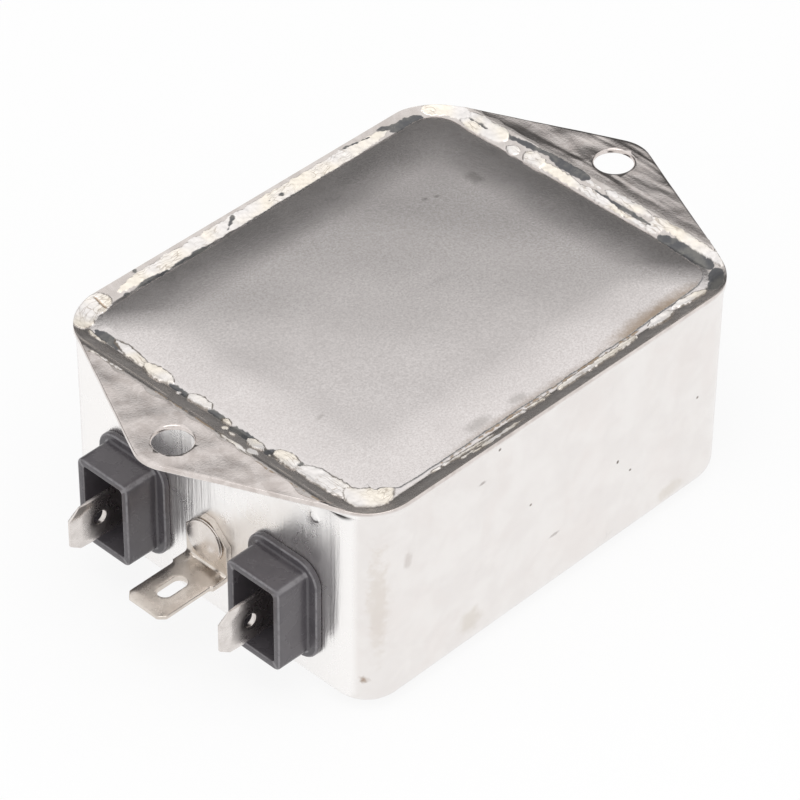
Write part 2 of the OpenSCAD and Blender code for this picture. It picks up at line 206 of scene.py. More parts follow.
@dataclass
class Skin:
    """A patch of surface: points, faces and the flat coordinates that patterns follow."""

    points: Array
    faces: list
    flat: Array
    marks: dict = field(default_factory=dict)

    @staticmethod
    def grid(points: Array, flat: Array | None = None, marks: dict | None = None) -> "Skin":
        """A skin over a grid of points.

        Args:
            points: Points by row and column.
            flat: Flat coordinates of each point.
            marks: Named numbers of each point.

        Returns:
            The skin, with a four-sided face in each cell.
        """
        rows, columns = points.shape[:2]
        index = np.arange(rows * columns).reshape(rows, columns)
        cells = np.stack([index[:-1, :-1], index[1:, :-1], index[1:, 1:], index[:-1, 1:]], -1)
        if flat is None:
            flat = np.stack(np.meshgrid(np.arange(rows), np.arange(columns), indexing="ij"), -1)
        kept = {name: value.reshape(-1) for name, value in (marks or {}).items()}
        return Skin(
            points.reshape(-1, 3), cells.reshape(-1, 4).tolist(),
            flat.reshape(-1, 2).astype(float), kept,
        )


@dataclass
class Piece:
    """One object of the dressed part, made of skins that share their edges."""

    name: str
    nodes: tuple[str, ...]
    slot: str
    skins: list[Skin]
    crease: float = 40.0
    weld: float = 0.002

    def make(self, material: bpy.types.Material) -> bpy.types.Object:
        """Joins the skins into one closed mesh in place of the CAD nodes.

        Args:
            material: Material of the whole piece.

        Returns:
            The new object, at the origin.
        """
        starts = np.cumsum([0] + [len(skin.points) for skin in self.skins])
        points = np.concatenate([skin.points for skin in self.skins]) * MM
        faces = [
            [corner + int(start) for corner in face]
            for skin, start in zip(self.skins, starts)
            for face in skin.faces
        ]
        mesh = bpy.data.meshes.new(self.name)
        mesh.from_pydata(points.tolist(), [], faces)
        flat = np.concatenate([skin.flat for skin in self.skins])
        corners = np.zeros(len(mesh.loops), int)
        mesh.loops.foreach_get("vertex_index", corners)
        layer = mesh.uv_layers.new(name="Flat")
        layer.data.foreach_set("uv", flat[corners].astype(np.float32).ravel())
        for mark in self.skins[0].marks:
            values = np.concatenate([skin.marks[mark] for skin in self.skins])
            kept = mesh.attributes.new(mark, "FLOAT", "POINT")
            kept.data.foreach_set("value", values.astype(np.float32))
        shape = bmesh.new()
        shape.from_mesh(mesh)
        bmesh.ops.remove_doubles(shape, verts=shape.verts, dist=self.weld * MM)
        bmesh.ops.dissolve_degenerate(shape, edges=shape.edges, dist=1e-8)
        bmesh.ops.recalc_face_normals(shape, faces=shape.faces)
        shape.to_mesh(mesh)
        shape.free()
        mesh.shade_smooth()
        mesh.set_sharp_from_angle(angle=math.radians(self.crease))
        mesh.materials.append(material)
        made = bpy.data.objects.new(self.name, mesh)
        bpy.context.scene.collection.objects.link(made)
        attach(made, "root")
        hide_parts(*self.nodes)
        LOG.info("%s: %d faces in place of %s", self.name, len(mesh.polygons), self.nodes)
        return made


def cut(piece: bpy.types.Object, tools: list[Skin], crease: float) -> None:
    """Takes the closed tool skins out of a piece and removes the tools.

    Args:
        piece: Object to cut.
        tools: Closed skins of the holes, clear of each other.
        crease: Angle in degrees from which an edge of the result is sharp.
    """
    starts = np.cumsum([0] + [len(tool.points) for tool in tools])
    faces = [[c + int(n) for c in face] for tool, n in zip(tools, starts) for face in tool.faces]
    mesh = bpy.data.meshes.new("tool")
    mesh.from_pydata((np.concatenate([tool.points for tool in tools]) * MM).tolist(), [], faces)
    shape = bmesh.new()
    shape.from_mesh(mesh)
    bmesh.ops.remove_doubles(shape, verts=shape.verts, dist=1e-7)
    bmesh.ops.recalc_face_normals(shape, faces=shape.faces)
    shape.to_mesh(mesh)
    shape.free()
    solid = bpy.data.objects.new("tool", mesh)
    bpy.context.scene.collection.objects.link(solid)
    work = piece.modifiers.new("holes", "BOOLEAN")
    work.operation, work.object, work.solver = "DIFFERENCE", solid, "EXACT"
    bpy.context.view_layer.update()
    graph = bpy.context.evaluated_depsgraph_get()
    result = bpy.data.meshes.new_from_object(
        piece.evaluated_get(graph), preserve_all_data_layers=True, depsgraph=graph
    )
    piece.modifiers.remove(work)
    old, piece.data = piece.data, result
    bpy.data.meshes.remove(old)
    bpy.data.objects.remove(solid)
    bpy.data.meshes.remove(mesh)
    piece.data.name = piece.name
    piece.data.shade_smooth()
    piece.data.set_sharp_from_angle(angle=math.radians(crease))


def turned(profile: Array, steps: int, centre: Array, axis: str) -> Skin:
    """Turns a profile of (radius, height) rows about an axis through a centre.

    Args:
        profile: Radii and heights.
        steps: Steps round the axis.
        centre: Point on the axis at height 0.
        axis: "x" or "z", the way that heights run.

    Returns:
        The turned skin.
    """
    angle = np.linspace(0.0, 2.0 * np.pi, steps + 1)[:, None]
    wide, high = profile[None, :, 0], np.broadcast_to(profile[:, 1], (steps + 1, len(profile)))
    a, b = wide * np.cos(angle), wide * np.sin(angle)
    order = (a, b, high) if axis == "z" else (high, a, b)
    return Skin.grid(np.stack(order, -1) + centre)


def arc(centre: tuple[float, float], radius: float, start: float, end: float, steps: int) -> Array:
    """Points on an arc: the centre plus the radius times (cos, sin) of evenly spaced angles."""
    angle = np.radians(np.linspace(start, end, steps + 1))
    return np.stack([centre[0] + radius * np.cos(angle), centre[1] + radius * np.sin(angle)], -1)


def inset(loop: Array, distance: float) -> Array:
    """Moves a closed anticlockwise loop inwards, each point along its mitre.

    Args:
        loop: Points of the loop.
        distance: How far it moves.

    Returns:
        The moved loop.
    """
    after = np.roll(loop, -1, axis=0) - loop
    after /= np.linalg.norm(after, axis=1, keepdims=True)
    before = np.roll(after, 1, axis=0)
    left = np.stack([-(after + before)[:, 1], (after + before)[:, 0]], -1)
    left /= np.linalg.norm(left, axis=1, keepdims=True)
    own = np.stack([-after[:, 1], after[:, 0]], -1)
    return loop + left * (distance / np.clip((left * own).sum(1), 0.5, 1.0))[:, None]


def inside(points: Array, loop: Array) -> Array:
    """Whether each point lies in a loop, by counting the edges to its right."""
    x, y = points[:, :1], points[:, 1:]
    a, b = loop, np.roll(loop, -1, axis=0)
    spans = (a[:, 1] > y) != (b[:, 1] > y)
    slope = np.where(b[:, 1] == a[:, 1], 1.0, b[:, 1] - a[:, 1])
    reach = a[:, 0] + (y - a[:, 1]) * (b[:, 0] - a[:, 0]) / slope
    return (spans & (x < reach)).sum(1) % 2 == 1


def refine(loop: Array, pitch: float) -> Array:
    """Adds evenly spaced points to the straight runs of a closed loop."""
    following = np.roll(loop, -1, axis=0)
    parts = np.maximum(1, np.ceil(np.linalg.norm(following - loop, axis=1) / pitch)).astype(int)
    start = np.repeat(np.arange(len(loop)), parts)
    share = np.concatenate([np.arange(n) / n for n in parts])[:, None]
    return loop[start] * (1 - share) + following[start] * share


@dataclass
class Stamping:
    """Flat stamped part: an outline with holes, a thickness and rolled-over edges."""

    outline: Array
    holes: list[Array]
    thickness: float
    edge: float
    pitch: float

    def skins(self) -> list[Skin]:
        """Two faces triangulated on a lattice, and an edge strip round each loop.

        Returns:
            Skins in flat coordinates: along, across, and height about the middle plane.
        """
        outline = refine(self.outline, self.pitch)
        loops = [(outline, inset(outline, self.edge))]
        loops += [(hole, inset(hole, -self.edge)) for hole in self.holes]
        shrunk = [loop for _, loop in loops]
        low, high = outline.min(0), outline.max(0)
        lattice = np.stack(np.meshgrid(
            np.arange(low[0], high[0], self.pitch), np.arange(low[1], high[1], self.pitch)
        ), -1).reshape(-1, 2)
        room = inside(lattice, inset(shrunk[0], self.pitch * 0.6))
        for loop in shrunk[1:]:
            room &= ~inside(lattice, inset(loop, -self.pitch * 0.6))
        flat = np.concatenate(shrunk + [lattice[room]])
        starts = np.cumsum([0] + [len(loop) for loop in shrunk])
        ties = [
            (int(a + i), int(a + (i + 1) % (b - a)))
            for a, b in zip(starts, starts[1:]) for i in range(b - a)
        ]
        found = delaunay_2d_cdt([Vector(p) for p in flat.tolist()], ties, [], 0, 1e-7)
        corners = np.array([tuple(v) for v in found[0]])
        cells = np.array([face for face in found[2] if len(face) == 3])
        middle = corners[cells].mean(1)
        kept = inside(middle, shrunk[0])
        for loop in shrunk[1:]:
            kept &= ~inside(middle, loop)
        half = self.thickness / 2
        faces = cells[kept]
        made = []
        for level in (half, -half):
            points = np.column_stack([corners, np.full(len(corners), level)])
            made.append(Skin(points, (faces if level > 0 else faces[:, ::-1]).tolist(), corners))
        turn = np.radians(np.linspace(0.0, 90.0, 5))
        lean = np.concatenate([1 - np.sin(turn), (1 - np.sin(turn))[::-1]])
        level = np.concatenate([half - self.edge * (1 - np.cos(turn)),
                                -(half - self.edge * (1 - np.cos(turn)))[::-1]])
        for outer, inner in loops:
            share = lean[None, :, None]
            ring = np.concatenate([outer, outer[:1]])[:, None] * (1 - share)
            ring = ring + np.concatenate([inner, inner[:1]])[:, None] * share
            high = np.broadcast_to(level, ring.shape[:2])[..., None]
            made.append(Skin.grid(np.concatenate([ring, high], -1), ring))
        return made


# ------------------------------------------------------------------ node helpers


class Sheet:
    """Short words for placing and joining the nodes of one tree."""

    def __init__(self, tree: bpy.types.NodeTree) -> None:
        """Keeps the tree."""
        self.tree = tree

    def node(self, kind: str, inputs: dict | None = None, **settings: object) -> bpy.types.Node:
        """Adds a node.

        Args:
            kind: Blender's name of the node type.
            inputs: Values or sockets for named or numbered inputs.
            **settings: Properties to set first.

        Returns:
            The new node.
        """
        made = self.tree.nodes.new(kind)
        for name, value in settings.items():
            setattr(made, name, value)
        for key, value in (inputs or {}).items():
            if isinstance(value, bpy.types.NodeSocket):
                self.tree.links.new(value, made.inputs[key])
            else:
                made.inputs[key].default_value = value
        return made

    def group(self, tree: bpy.types.NodeTree, inputs: dict, output: str) -> bpy.types.NodeSocket:
        """Places a shared group and returns the named output."""
        return self.node("ShaderNodeGroup", inputs, node_tree=tree).outputs[output]

    def math(self, operation: str, *values: object, clamp: bool = False) -> bpy.types.NodeSocket:
        """Output of a Math node on the given values or sockets."""
        return self.node(
            "ShaderNodeMath", dict(enumerate(values)), operation=operation, use_clamp=clamp
        ).outputs[0]

    def vector(self, operation: str, *values: object) -> bpy.types.NodeSocket:
        """Vector output of a Vector Math node."""
        return self.node(
            "ShaderNodeVectorMath", dict(enumerate(values)), operation=operation
        ).outputs[0]

    def mix(self, factor: object, first: object, second: object) -> bpy.types.NodeSocket:
        """Triple between first at factor 0 and second at factor 1."""
        opaque = [(*c, 1.0) if isinstance(c, tuple) and len(c) == 3 else c for c in (first, second)]
        return self.node(
            "ShaderNodeMix", {0: factor, 6: opaque[0], 7: opaque[1]}, data_type="RGBA"
        ).outputs[2]

    def step(self, value: object, low: object, high: object, start: float = 0.0,
             end: float = 1.0) -> bpy.types.NodeSocket:
        """Smooth step of value between low and high, from start to end."""
        return self.node(
            "ShaderNodeMapRange", {0: value, 1: low, 2: high, 3: start, 4: end},
            interpolation_type="SMOOTHSTEP",
        ).outputs[0]

    def noise(self, vector: object, scale: object, detail: float = 2.0, rough: float = 0.5,
              warp: float = 0.0) -> bpy.types.NodeSocket:
        """Noise between about 0.25 and 0.75."""
        return self.node("ShaderNodeTexNoise", {
            "Vector": vector, "Scale": scale, "Detail": detail, "Roughness": rough,
            "Distortion": warp,
        }).outputs["Fac"]


def new_group(name: str, inputs: dict, outputs: dict) -> tuple[bpy.types.NodeTree, Sheet,
                                                               bpy.types.Node, bpy.types.Node]:
    """Starts a shader node group with named sockets.

    Args:
        name: Name of the group.
        inputs: Socket kinds ("Vector", "Float", "Color") by input name.
        outputs: The same for outputs.

    Returns:
        The tree, its sheet and its input and output nodes.
    """
    tree = bpy.data.node_groups.new(name, "ShaderNodeTree")
    for way, sockets in (("INPUT", inputs), ("OUTPUT", outputs)):
        for socket, kind in sockets.items():
            tree.interface.new_socket(socket, in_out=way, socket_type=f"NodeSocket{kind}")
    sheet = Sheet(tree)
    return tree, sheet, sheet.node("NodeGroupInput"), sheet.node("NodeGroupOutput")


class Effects:
    """Shader node groups that several finishes share, built once."""

    def __init__(self) -> None:
        """Builds every group."""
        self.grain = self._grain()
        self.blotch = self._blotch()
        self.spot = self._spot()
        self.scratch = self._scratch()
        self.lines = self._lines()

    @staticmethod
    def _grain() -> bpy.types.NodeTree:
        """Fine even tooth of a satin or moulded surface, as a height."""
        tree, s, given, out = new_group(
            "grain", {"Vector": "Vector", "Size": "Float"}, {"Height": "Float"}
        )
        scale = s.math("DIVIDE", 1.0, given.outputs["Size"])
        fine = s.noise(given.outputs["Vector"], scale, 3.0, 0.65)
        tree.links.new(fine, out.inputs["Height"])
        return tree

    @staticmethod
    def _blotch() -> bpy.types.NodeTree:
        """Soft irregular patches: noise pushed through a smooth step."""
        tree, s, given, out = new_group(
            "blotch",
            {"Vector": "Vector", "Size": "Float", "Level": "Float", "Softness": "Float"},
            {"Mask": "Float"},
        )
        scale = s.math("DIVIDE", 1.0, given.outputs["Size"])
        raw = s.noise(given.outputs["Vector"], scale, 4.0, 0.6, 0.4)
        low = s.math("SUBTRACT", given.outputs["Level"], given.outputs["Softness"])
        high = s.math("ADD", given.outputs["Level"], given.outputs["Softness"])
        tree.links.new(s.step(raw, low, high), out.inputs["Mask"])
        return tree

    @staticmethod
    def _spot() -> bpy.types.NodeTree:
        """One ragged oval mark: 1 at its centre, 0 past its reach."""
        tree, s, given, out = new_group(
            "spot",
            {"Vector": "Vector", "Centre": "Vector", "Reach": "Vector", "Ragged": "Float"},
            {"Mask": "Float"},
        )
        offset = s.vector("SUBTRACT", given.outputs["Vector"], given.outputs["Centre"])
        share = s.node("ShaderNodeVectorMath", {
            0: s.vector("DIVIDE", offset, given.outputs["Reach"])
        }, operation="LENGTH").outputs["Value"]
        wobble = s.math("SUBTRACT", s.noise(given.outputs["Vector"], 0.9, 4.0, 0.65), 0.5)
        share = s.math("ADD", share, s.math("MULTIPLY", wobble, given.outputs["Ragged"]))
        tree.links.new(s.step(share, 1.0, 0.25), out.inputs["Mask"])
        return tree

    @staticmethod
    def _scratch() -> bpy.types.NodeTree:
        """Sparse thin lines: the walls between stretched cells, kept only in places."""
        tree, s, given, out = new_group(
            "scratch", {"Vector": "Vector", "Size": "Float", "Amount": "Float"}, {"Mask": "Float"}
        )
        scale = s.math("DIVIDE", 1.0, given.outputs["Size"])
        warped = s.noise(given.outputs["Vector"], s.math("MULTIPLY", scale, 1.7), 1.0)
        moved = s.vector("ADD", given.outputs["Vector"], s.vector("MULTIPLY", warped, (1, 1, 1)))
        cells = s.node("ShaderNodeTexVoronoi", {"Vector": moved, "Scale": scale},
                       feature="DISTANCE_TO_EDGE").outputs["Distance"]
        line = s.step(cells, 0.012, 0.0)
        there = s.step(s.noise(given.outputs["Vector"], scale, 2.0),
                       s.math("SUBTRACT", 0.72, given.outputs["Amount"]), 0.75)
        tree.links.new(s.math("MULTIPLY", line, there), out.inputs["Mask"])
        return tree

    @staticmethod
    def _lines() -> bpy.types.NodeTree:
        """Fine parallel draw lines: noise squeezed across and stretched along."""
        tree, s, given, out = new_group(
            "draw_lines", {"Vector": "Vector", "Squeeze": "Vector"}, {"Height": "Float"}
        )
        pulled = s.vector("MULTIPLY", given.outputs["Vector"], given.outputs["Squeeze"])
        tree.links.new(s.noise(pulled, 1.0, 3.0, 0.6), out.inputs["Height"])
        return tree


@dataclass(frozen=True)
class Coat:
    """A finish: its colour, how metallic and rough it is, and how fine its tooth is."""

    name: str
    colour: Triple
    second: Triple
    metallic: float
    roughness: float
    spread: float
    patch: float
    tooth: float
    depth: float

    def start(self, effects: Effects) -> tuple["Sheet", bpy.types.Material, dict]:
        """Sets up a material with this coat's patches, tooth and roughness.

        Args:
            effects: The shared node groups.

        Returns:
            The sheet, the material, and the sockets that a finish may build on: "mm"
            (Object coordinates in millimetres), "colour", "roughness", "height" and "shader".
        """
        material = bpy.data.materials.new(self.name)
        material.use_nodes = True
        material.node_tree.nodes.clear()
        s = Sheet(material.node_tree)
        place = s.node("ShaderNodeTexCoord").outputs["Object"]
        mm = s.vector("MULTIPLY", place, (1000.0, 1000.0, 1000.0))
        patch = s.group(effects.blotch, {"Vector": mm, "Size": self.patch, "Level": 0.5,
                                         "Softness": 0.16}, "Mask")
        tooth = s.group(effects.grain, {"Vector": mm, "Size": self.tooth}, "Height")
        rough = s.math("ADD", self.roughness - self.spread / 2,
                       s.math("MULTIPLY", patch, self.spread))
        shader = s.node("ShaderNodeBsdfPrincipled", {"Metallic": self.metallic})
        out = s.node("ShaderNodeOutputMaterial")
        s.tree.links.new(shader.outputs[0], out.inputs[0])
        return s, material, {
            "mm": mm, "colour": s.mix(patch, self.colour, self.second),
            "roughness": rough, "height": tooth, "shader": shader, "depth": self.depth,
        }

    def plain(self, effects: Effects) -> bpy.types.Material:
        """The material with nothing more than this coat."""
        s, material, parts = self.start(effects)
        finish(s, parts)
        return material


def finish(s: Sheet, parts: dict) -> None:
    """Joins colour, roughness and height to the shader.

    Args:
        s: Sheet of the material.
        parts: Sockets as Coat.start returns them, as changed by the finish.
    """
    shader = parts["shader"]
    s.tree.links.new(parts["colour"], shader.inputs["Base Color"])
    s.tree.links.new(parts["roughness"], shader.inputs["Roughness"])
    bump = s.node("ShaderNodeBump", {"Height": parts["height"], "Strength": 1.0,
                                     "Distance": parts["depth"] * MM})
    s.tree.links.new(bump.outputs[0], shader.inputs["Normal"])


@dataclass(frozen=True)
class PlacedSpot:
    """A placed stain or painted shadow: where it is, how far it reaches and its colour."""

    centre: Triple
    reach: Triple
    colour: Triple
    strength: float
    ragged: float = 1.2


def lay_spots(s: Sheet, effects: Effects, mm: bpy.types.NodeSocket, colour: bpy.types.NodeSocket,
            placed_spots: tuple[PlacedSpot, ...]) -> bpy.types.NodeSocket:
    """Lays each placed mark over a colour: stains, and on the can a painted shadow.

    Args:
        s: Sheet of the material.
        effects: The shared node groups.
        mm: Object coordinates in millimetres.
        colour: The colour so far.
        placed_spots: The marks.

    Returns:
        The stained colour.
    """
    for placed_spot in placed_spots:
        mask = s.group(effects.spot, {
            "Vector": mm, "Centre": placed_spot.centre, "Reach": placed_spot.reach, "Ragged": placed_spot.ragged,
        }, "Mask")
        colour = s.mix(s.math("MULTIPLY", mask, placed_spot.strength), colour, placed_spot.colour)
    return colour


# ------------------------------------------------------------------ the can and its cover


@dataclass(frozen=True)
class Mouth:
    """Sizes of the can's section, its turned-out mouth and the trimmed flange."""

    corner: Triple = (26.7, 20.5, 0.0)
    radius: float = 5.3
    sheet: float = 0.7
    base: float = 3.0
    draw: float = 2.0
    height: float = 31.1
    trim: Triple = (25.8, 19.35, 7.0)
    ear: Triple = (37.5, 0.0, 4.75)

    @property
    def bend(self) -> float:
        """Height where the sheet starts to turn out."""
        return self.height - self.draw

    def outline(self) -> Array:
        """Trimmed flange as a convex loop: the hull of four corner arcs and two ear tips."""
        corners = [
            arc((sx * self.trim[0], sy * self.trim[1]), self.trim[2], 0, 360, 240)
            for sx in (1, -1) for sy in (1, -1)
        ]
        tips = [arc((s * self.ear[0], 0.0), self.ear[2], 0, 360, 240) for s in (1, -1)]
        points = np.concatenate(corners + tips)
        angles = np.radians(np.arange(0.0, 360.0, 0.75))
        reach = np.stack([np.cos(angles), np.sin(angles)], -1)
        found = points[(points @ reach.T).argmax(0)]
        keep = np.linalg.norm(found - np.roll(found, 1, axis=0), axis=1) > 1e-4
        return found[keep]

    def reach(self, ring: Ring) -> Array:
        """How far the flange stands out from the outer wall at each step of a ring.

        Each ray leaves the wall along its normal; the nearest crossing with a side of the
        convex outline ends it.

        Args:
            ring: The ring.

        Returns:
            The distances.
        """
        start = self.plan(ring, np.zeros(1))[:, 0]
        loop = self.outline()
        side = np.roll(loop, -1, axis=0) - loop
        out = np.stack([side[:, 1], -side[:, 0]], -1)
        out /= np.linalg.norm(out, axis=1, keepdims=True)
        rise = ring.normal @ out.T
        gap = (out * loop).sum(1) - start @ out.T
        return np.where(rise > 1e-6, gap / np.where(rise > 1e-6, rise, 1.0), np.inf).min(1)

    def plan(self, ring: Ring, offset: Array) -> Array:
        """Points at a distance outside the outer wall."""
        offset = np.broadcast_to(offset, (len(ring.side), offset.shape[-1]))
        flat = ring.side * np.array(self.corner[:2])
        return flat[:, None] + ring.normal[:, None] * (self.radius + offset)[..., None]

    def run(self, ring: Ring) -> Array:
        """Distance round the outer wall to each step, from the middle of the load end."""
        wall = self.plan(ring, np.zeros(1))[:, 0]
        step = np.linalg.norm(np.diff(wall, axis=0), axis=1)
        return np.concatenate([[0.0], np.cumsum(step)])

    def draw_height(self, offset: Array) -> Array:
        """Height of the mouth's upper surface: a circle of the draw radius, then flat."""
        lean = np.clip((self.draw - self.sheet - offset) / self.draw, 0.0, 1.0)
        return self.bend + self.draw * np.sqrt(1.0 - lean**2)


@dataclass
class Can:
    """The drawn can with its trimmed flange, ears and openings."""

    mouth: Mouth = field(default_factory=Mouth)
    cut_edge: float = 0.12
    hole: float = 2.5
    dent: float = 0.05

    def stations(self, ring: Ring) -> tuple[Array, Array, Array]:
        """Offset, height and shrink of every station round the section.

        The section runs from the middle of the closed face up the wall, under and over the
        flange, down the inner wall and back to the middle.  Under the flange the sheet is a
        circle of the draw radius less the sheet's thickness; the cut edge is two small arcs.

        Args:
            ring: The ring that the section is carried round.

        Returns:
            Arrays by ring step and station.
        """
        m = self.mouth
        limit = m.reach(ring)[:, None]
        turn = np.radians(np.linspace(0.0, 90.0, 9))[None]
        inner = m.draw - m.sheet
        one = np.ones_like(limit)
        offset, height, shrink = [], [], []

        def add(o: Array, z: Array, s: float | Array = 1.0) -> None:
            shape = np.broadcast_shapes(np.shape(o * one), np.shape(z))
            offset.append(np.broadcast_to(o, shape))
            height.append(np.broadcast_to(z, shape))
            shrink.append(np.broadcast_to(s, shape))

        floor = np.linspace(0.0, 1.0, 13)[None, :-1]
        add(-m.base + 0 * floor, 0 * floor, floor)
        add(-m.base + m.base * np.sin(turn), m.base - m.base * np.cos(turn))
        up = np.linspace(m.base, m.bend, 27)[None, 1:]
        add(0 * up, up)
        bend_end = np.arccos(np.clip((np.minimum(limit - self.cut_edge, inner) - inner) / inner,
                                     -1, 0))
        swing = np.pi + (bend_end - np.pi) * np.linspace(0.0, 1.0, 9)[None, 1:]
        add(inner + inner * np.cos(swing), m.bend + inner * np.sin(swing))
        edge = self.cut_edge
        out = np.linspace(0.0, 1.0, 19)[None, 1:]
        bent = np.minimum(limit - edge, inner)
        low = m.bend + inner * np.sin(bend_end)
        add(bent + (limit - edge - bent) * out, low)
        small = np.radians(np.linspace(0.0, 90.0, 5))[None, 1:]
        high = m.draw_height(limit - edge)
        add(limit - edge + edge * np.sin(small), low + edge - edge * np.cos(small))
        back = small[:, ::-1] - np.radians(22.5)
        add(limit - edge + edge * np.cos(np.pi / 2 - back), high - edge + edge * np.cos(back))
        add(limit - edge + (bent - limit + edge) * out, high)
        first = np.arccos(np.clip((bent - inner) / m.draw, -1, 0))
        swing = first + (np.pi - first) * np.linspace(0.0, 1.0, 13)[None, 1:]
        add(inner + m.draw * np.cos(swing), m.bend + m.draw * np.sin(swing))
        down = np.linspace(m.bend, m.base, 7)[None, 1:]
        add(-m.sheet + 0 * down, down)
        lip = m.base - m.sheet
        add(-m.base + lip * np.cos(turn), m.base - lip * np.sin(turn))
        add(-m.base + 0 * floor, m.sheet + 0 * floor, floor[:, ::-1])
        return tuple(np.concatenate(part, axis=1) for part in (offset, height, shrink))

    def skin(self) -> Skin:
        """The can's surface with unevenness, always inside the true sizes.

        Returns:
            The closed skin; its flat coordinates are the run round the wall and the station.
        """
        ring = Ring.make(92, 72, 18)
        offset, height, shrink = self.stations(ring)
        plan = self.mouth.plan(ring, offset) * shrink[..., None]
        points = np.concatenate([plan, height[..., None]], -1)
        wave = Ripple(11, 9.0).at(points)
        fine = Ripple(12, 3.4).at(points)
        flange = smooth_step(0.6, 3.0, offset) * smooth_step(29.0, 30.3, height)
        points[..., 2] -= flange * self.dent * (1.0 + 0.7 * wave + 0.3 * fine)
        wall = smooth_step(4.0, 9.0, height) * smooth_step(28.5, 24.0, height) * (offset > -1.0)
        sink = wall * self.dent * (1.0 + wave) * 0.35
        points[..., :2] -= ring.normal[:, None] * sink[..., None]
        near = ((points[..., 1:] - np.array(PIP[1:])) ** 2).sum(-1) / 0.62
        points[..., 0] -= 0.26 * np.exp(-(near**2)) * (points[..., 0] < -31.4) * (offset > -0.1)
        run = np.broadcast_to(self.mouth.run(ring)[:, None], height.shape)
        track = np.broadcast_to(np.arange(height.shape[1]), height.shape)
        return Skin.grid(points, np.stack([run, track * 1.0], -1))

    def tools(self) -> list[Skin]:
        """Closed skins of the two fixing holes, the four openings and the rivet's hole."""
        h = self.hole
        profile = np.array([
            [0.0, 29.9], [h + 0.6, 29.9], [h + 0.16, 30.36], [h + 0.02, 30.5], [h, 30.6],
            [h, 30.85], [h + 0.04, 30.97], [h + 0.14, 31.05], [h + 0.6, 31.3], [0.0, 31.3],
        ])
        made = [turned(profile, 72, np.array([s * self.mouth.ear[0], 0.0, 0.0]), "z")
                for s in (1, -1)]
        frame_ring = Ring.make(8, 6, 5)
        for side in (-1, 1):
            flat = frame_ring.plan(np.array([4.2, 4.2]), np.array([6.15, 6.15]),
                                   np.array([0.9, 0.9]))
            across = np.broadcast_to(np.array([-36.0, 36.0]), flat.shape[:2])
            middle = np.array([0.0, side * SIDE_Y, ROW_Z])
            shell = np.stack([across, flat[..., 0], flat[..., 1]], -1) + middle
            ends = [shell[:, :1] * [1, 0, 0] + middle, shell, shell[:, 1:] * [1, 0, 0] + middle]
            made.append(Skin.grid(np.concatenate(ends, 1)))
        rivet = np.array([[0.0, -WALL_X - 1.0], [1.5, -WALL_X - 1.0], [1.5, 2.0 - WALL_X],
                          [0.0, 2.0 - WALL_X]])
        made.append(turned(rivet, 32, np.array([0.0, 0.0, 13.0]), "x"))
        return made

    def build(self, material: bpy.types.Material) -> None:
        """Makes the can and cuts its openings."""
        made = Piece("drawn_can", ("can",), "can", [self.skin()], 34.0).make(material)
        cut(made, self.tools(), 34.0)


@dataclass
class Cover:
    """The pressed cover: a slightly crowned panel with a turned-down rim."""

    half: Triple = (31.2, 25.0, 30.7)
    corner: float = 4.5
    edge: float = 0.8
    depth: float = 4.5
    sheet: float = 0.7
    crown: float = 0.37
    drop: float = 0.53
    roll: float = 8.7

    def panel(self, plan: Array, inset_from_edge: Array) -> Array:
        """Height of the panel: a shallow dome that rolls off quadratically near its edge.

        Args:
            plan: X and Y of the points.
            inset_from_edge: Distance of each point inside the panel's edge.

        Returns:
            The heights.
        """
        share = (plan / np.array(self.half[:2])) ** 2
        dome = self.crown * (1.0 - share[..., 0]) * (1.0 - share[..., 1])
        rolled = self.drop * np.clip(1.0 - inset_from_edge / self.roll, 0.0, 1.0) ** 2
        return self.half[2] + dome - rolled

    def skin(self) -> Skin:
        """The panel, the rounded edge, the rim and the inner side."""
        ring = Ring.make(92, 72, 14)
        hx, hy, top = self.half
        into = np.concatenate([np.linspace(23.0, 9.0, 12), np.linspace(8.5, 0.0, 22)])
        flat_x, flat_y = hx - self.edge - into, hy - self.edge - into
        flat_r = np.maximum(self.corner - self.edge - into * 0.12, 0.5)
        plan = ring.plan(flat_x, flat_y, flat_r)
        plan = np.concatenate([plan[:, :1] * 0.0, plan], 1)
        into = np.concatenate([[23.5], into])
        height = self.panel(plan, np.broadcast_to(into, plan.shape[:2]))
        rim = height[:, -1:]
        turn = np.radians(np.linspace(0.0, 90.0, 8))[1:]
        grow = self.edge * np.sin(turn)
        bent = ring.plan(hx - self.edge + grow, hy - self.edge + grow,
                         self.corner - self.edge + grow)
        fall = rim - self.edge + self.edge * np.cos(turn)[None]
        low = top - self.depth
        t = self.sheet
        sizes = np.array([[0.0, low + 0.1], [0.1, low], [t - 0.1, low], [t, low + 0.1],
                          [t, top - 1.9], [1.3, top - t - 0.6]])
        inner = ring.plan(hx - sizes[:, 0], hy - sizes[:, 0], self.corner - sizes[:, 0])
        inner_z = np.broadcast_to(sizes[:, 1], inner.shape[:2])
        close = np.concatenate([inner, inner[:, -1:] * 0.0], 1)
        close_z = np.concatenate([inner_z, inner_z[:, -1:]], 1)
        plan = np.concatenate([plan, bent, close], 1)
        height = np.concatenate([height, fall, close_z], 1)
        points = np.concatenate([plan, height[..., None]], -1)
        calm = np.array([hx, hy]) - self.edge - np.abs(points[..., :2])
        calm = smooth_step(1.0, 6.0, calm.min(-1)) * (points[..., 2] > 30.0)
        points[..., 2] += 0.02 * Ripple(21, 14.0).at(points) * calm
        return Skin.grid(points, plan)

    def build(self, material: bpy.types.Material) -> None:
        """Makes the cover."""
        Piece("pressed_cover", ("cover",), "cover", [self.skin()], 50.0).make(material)


# ------------------------------------------------------------------ the solder seam


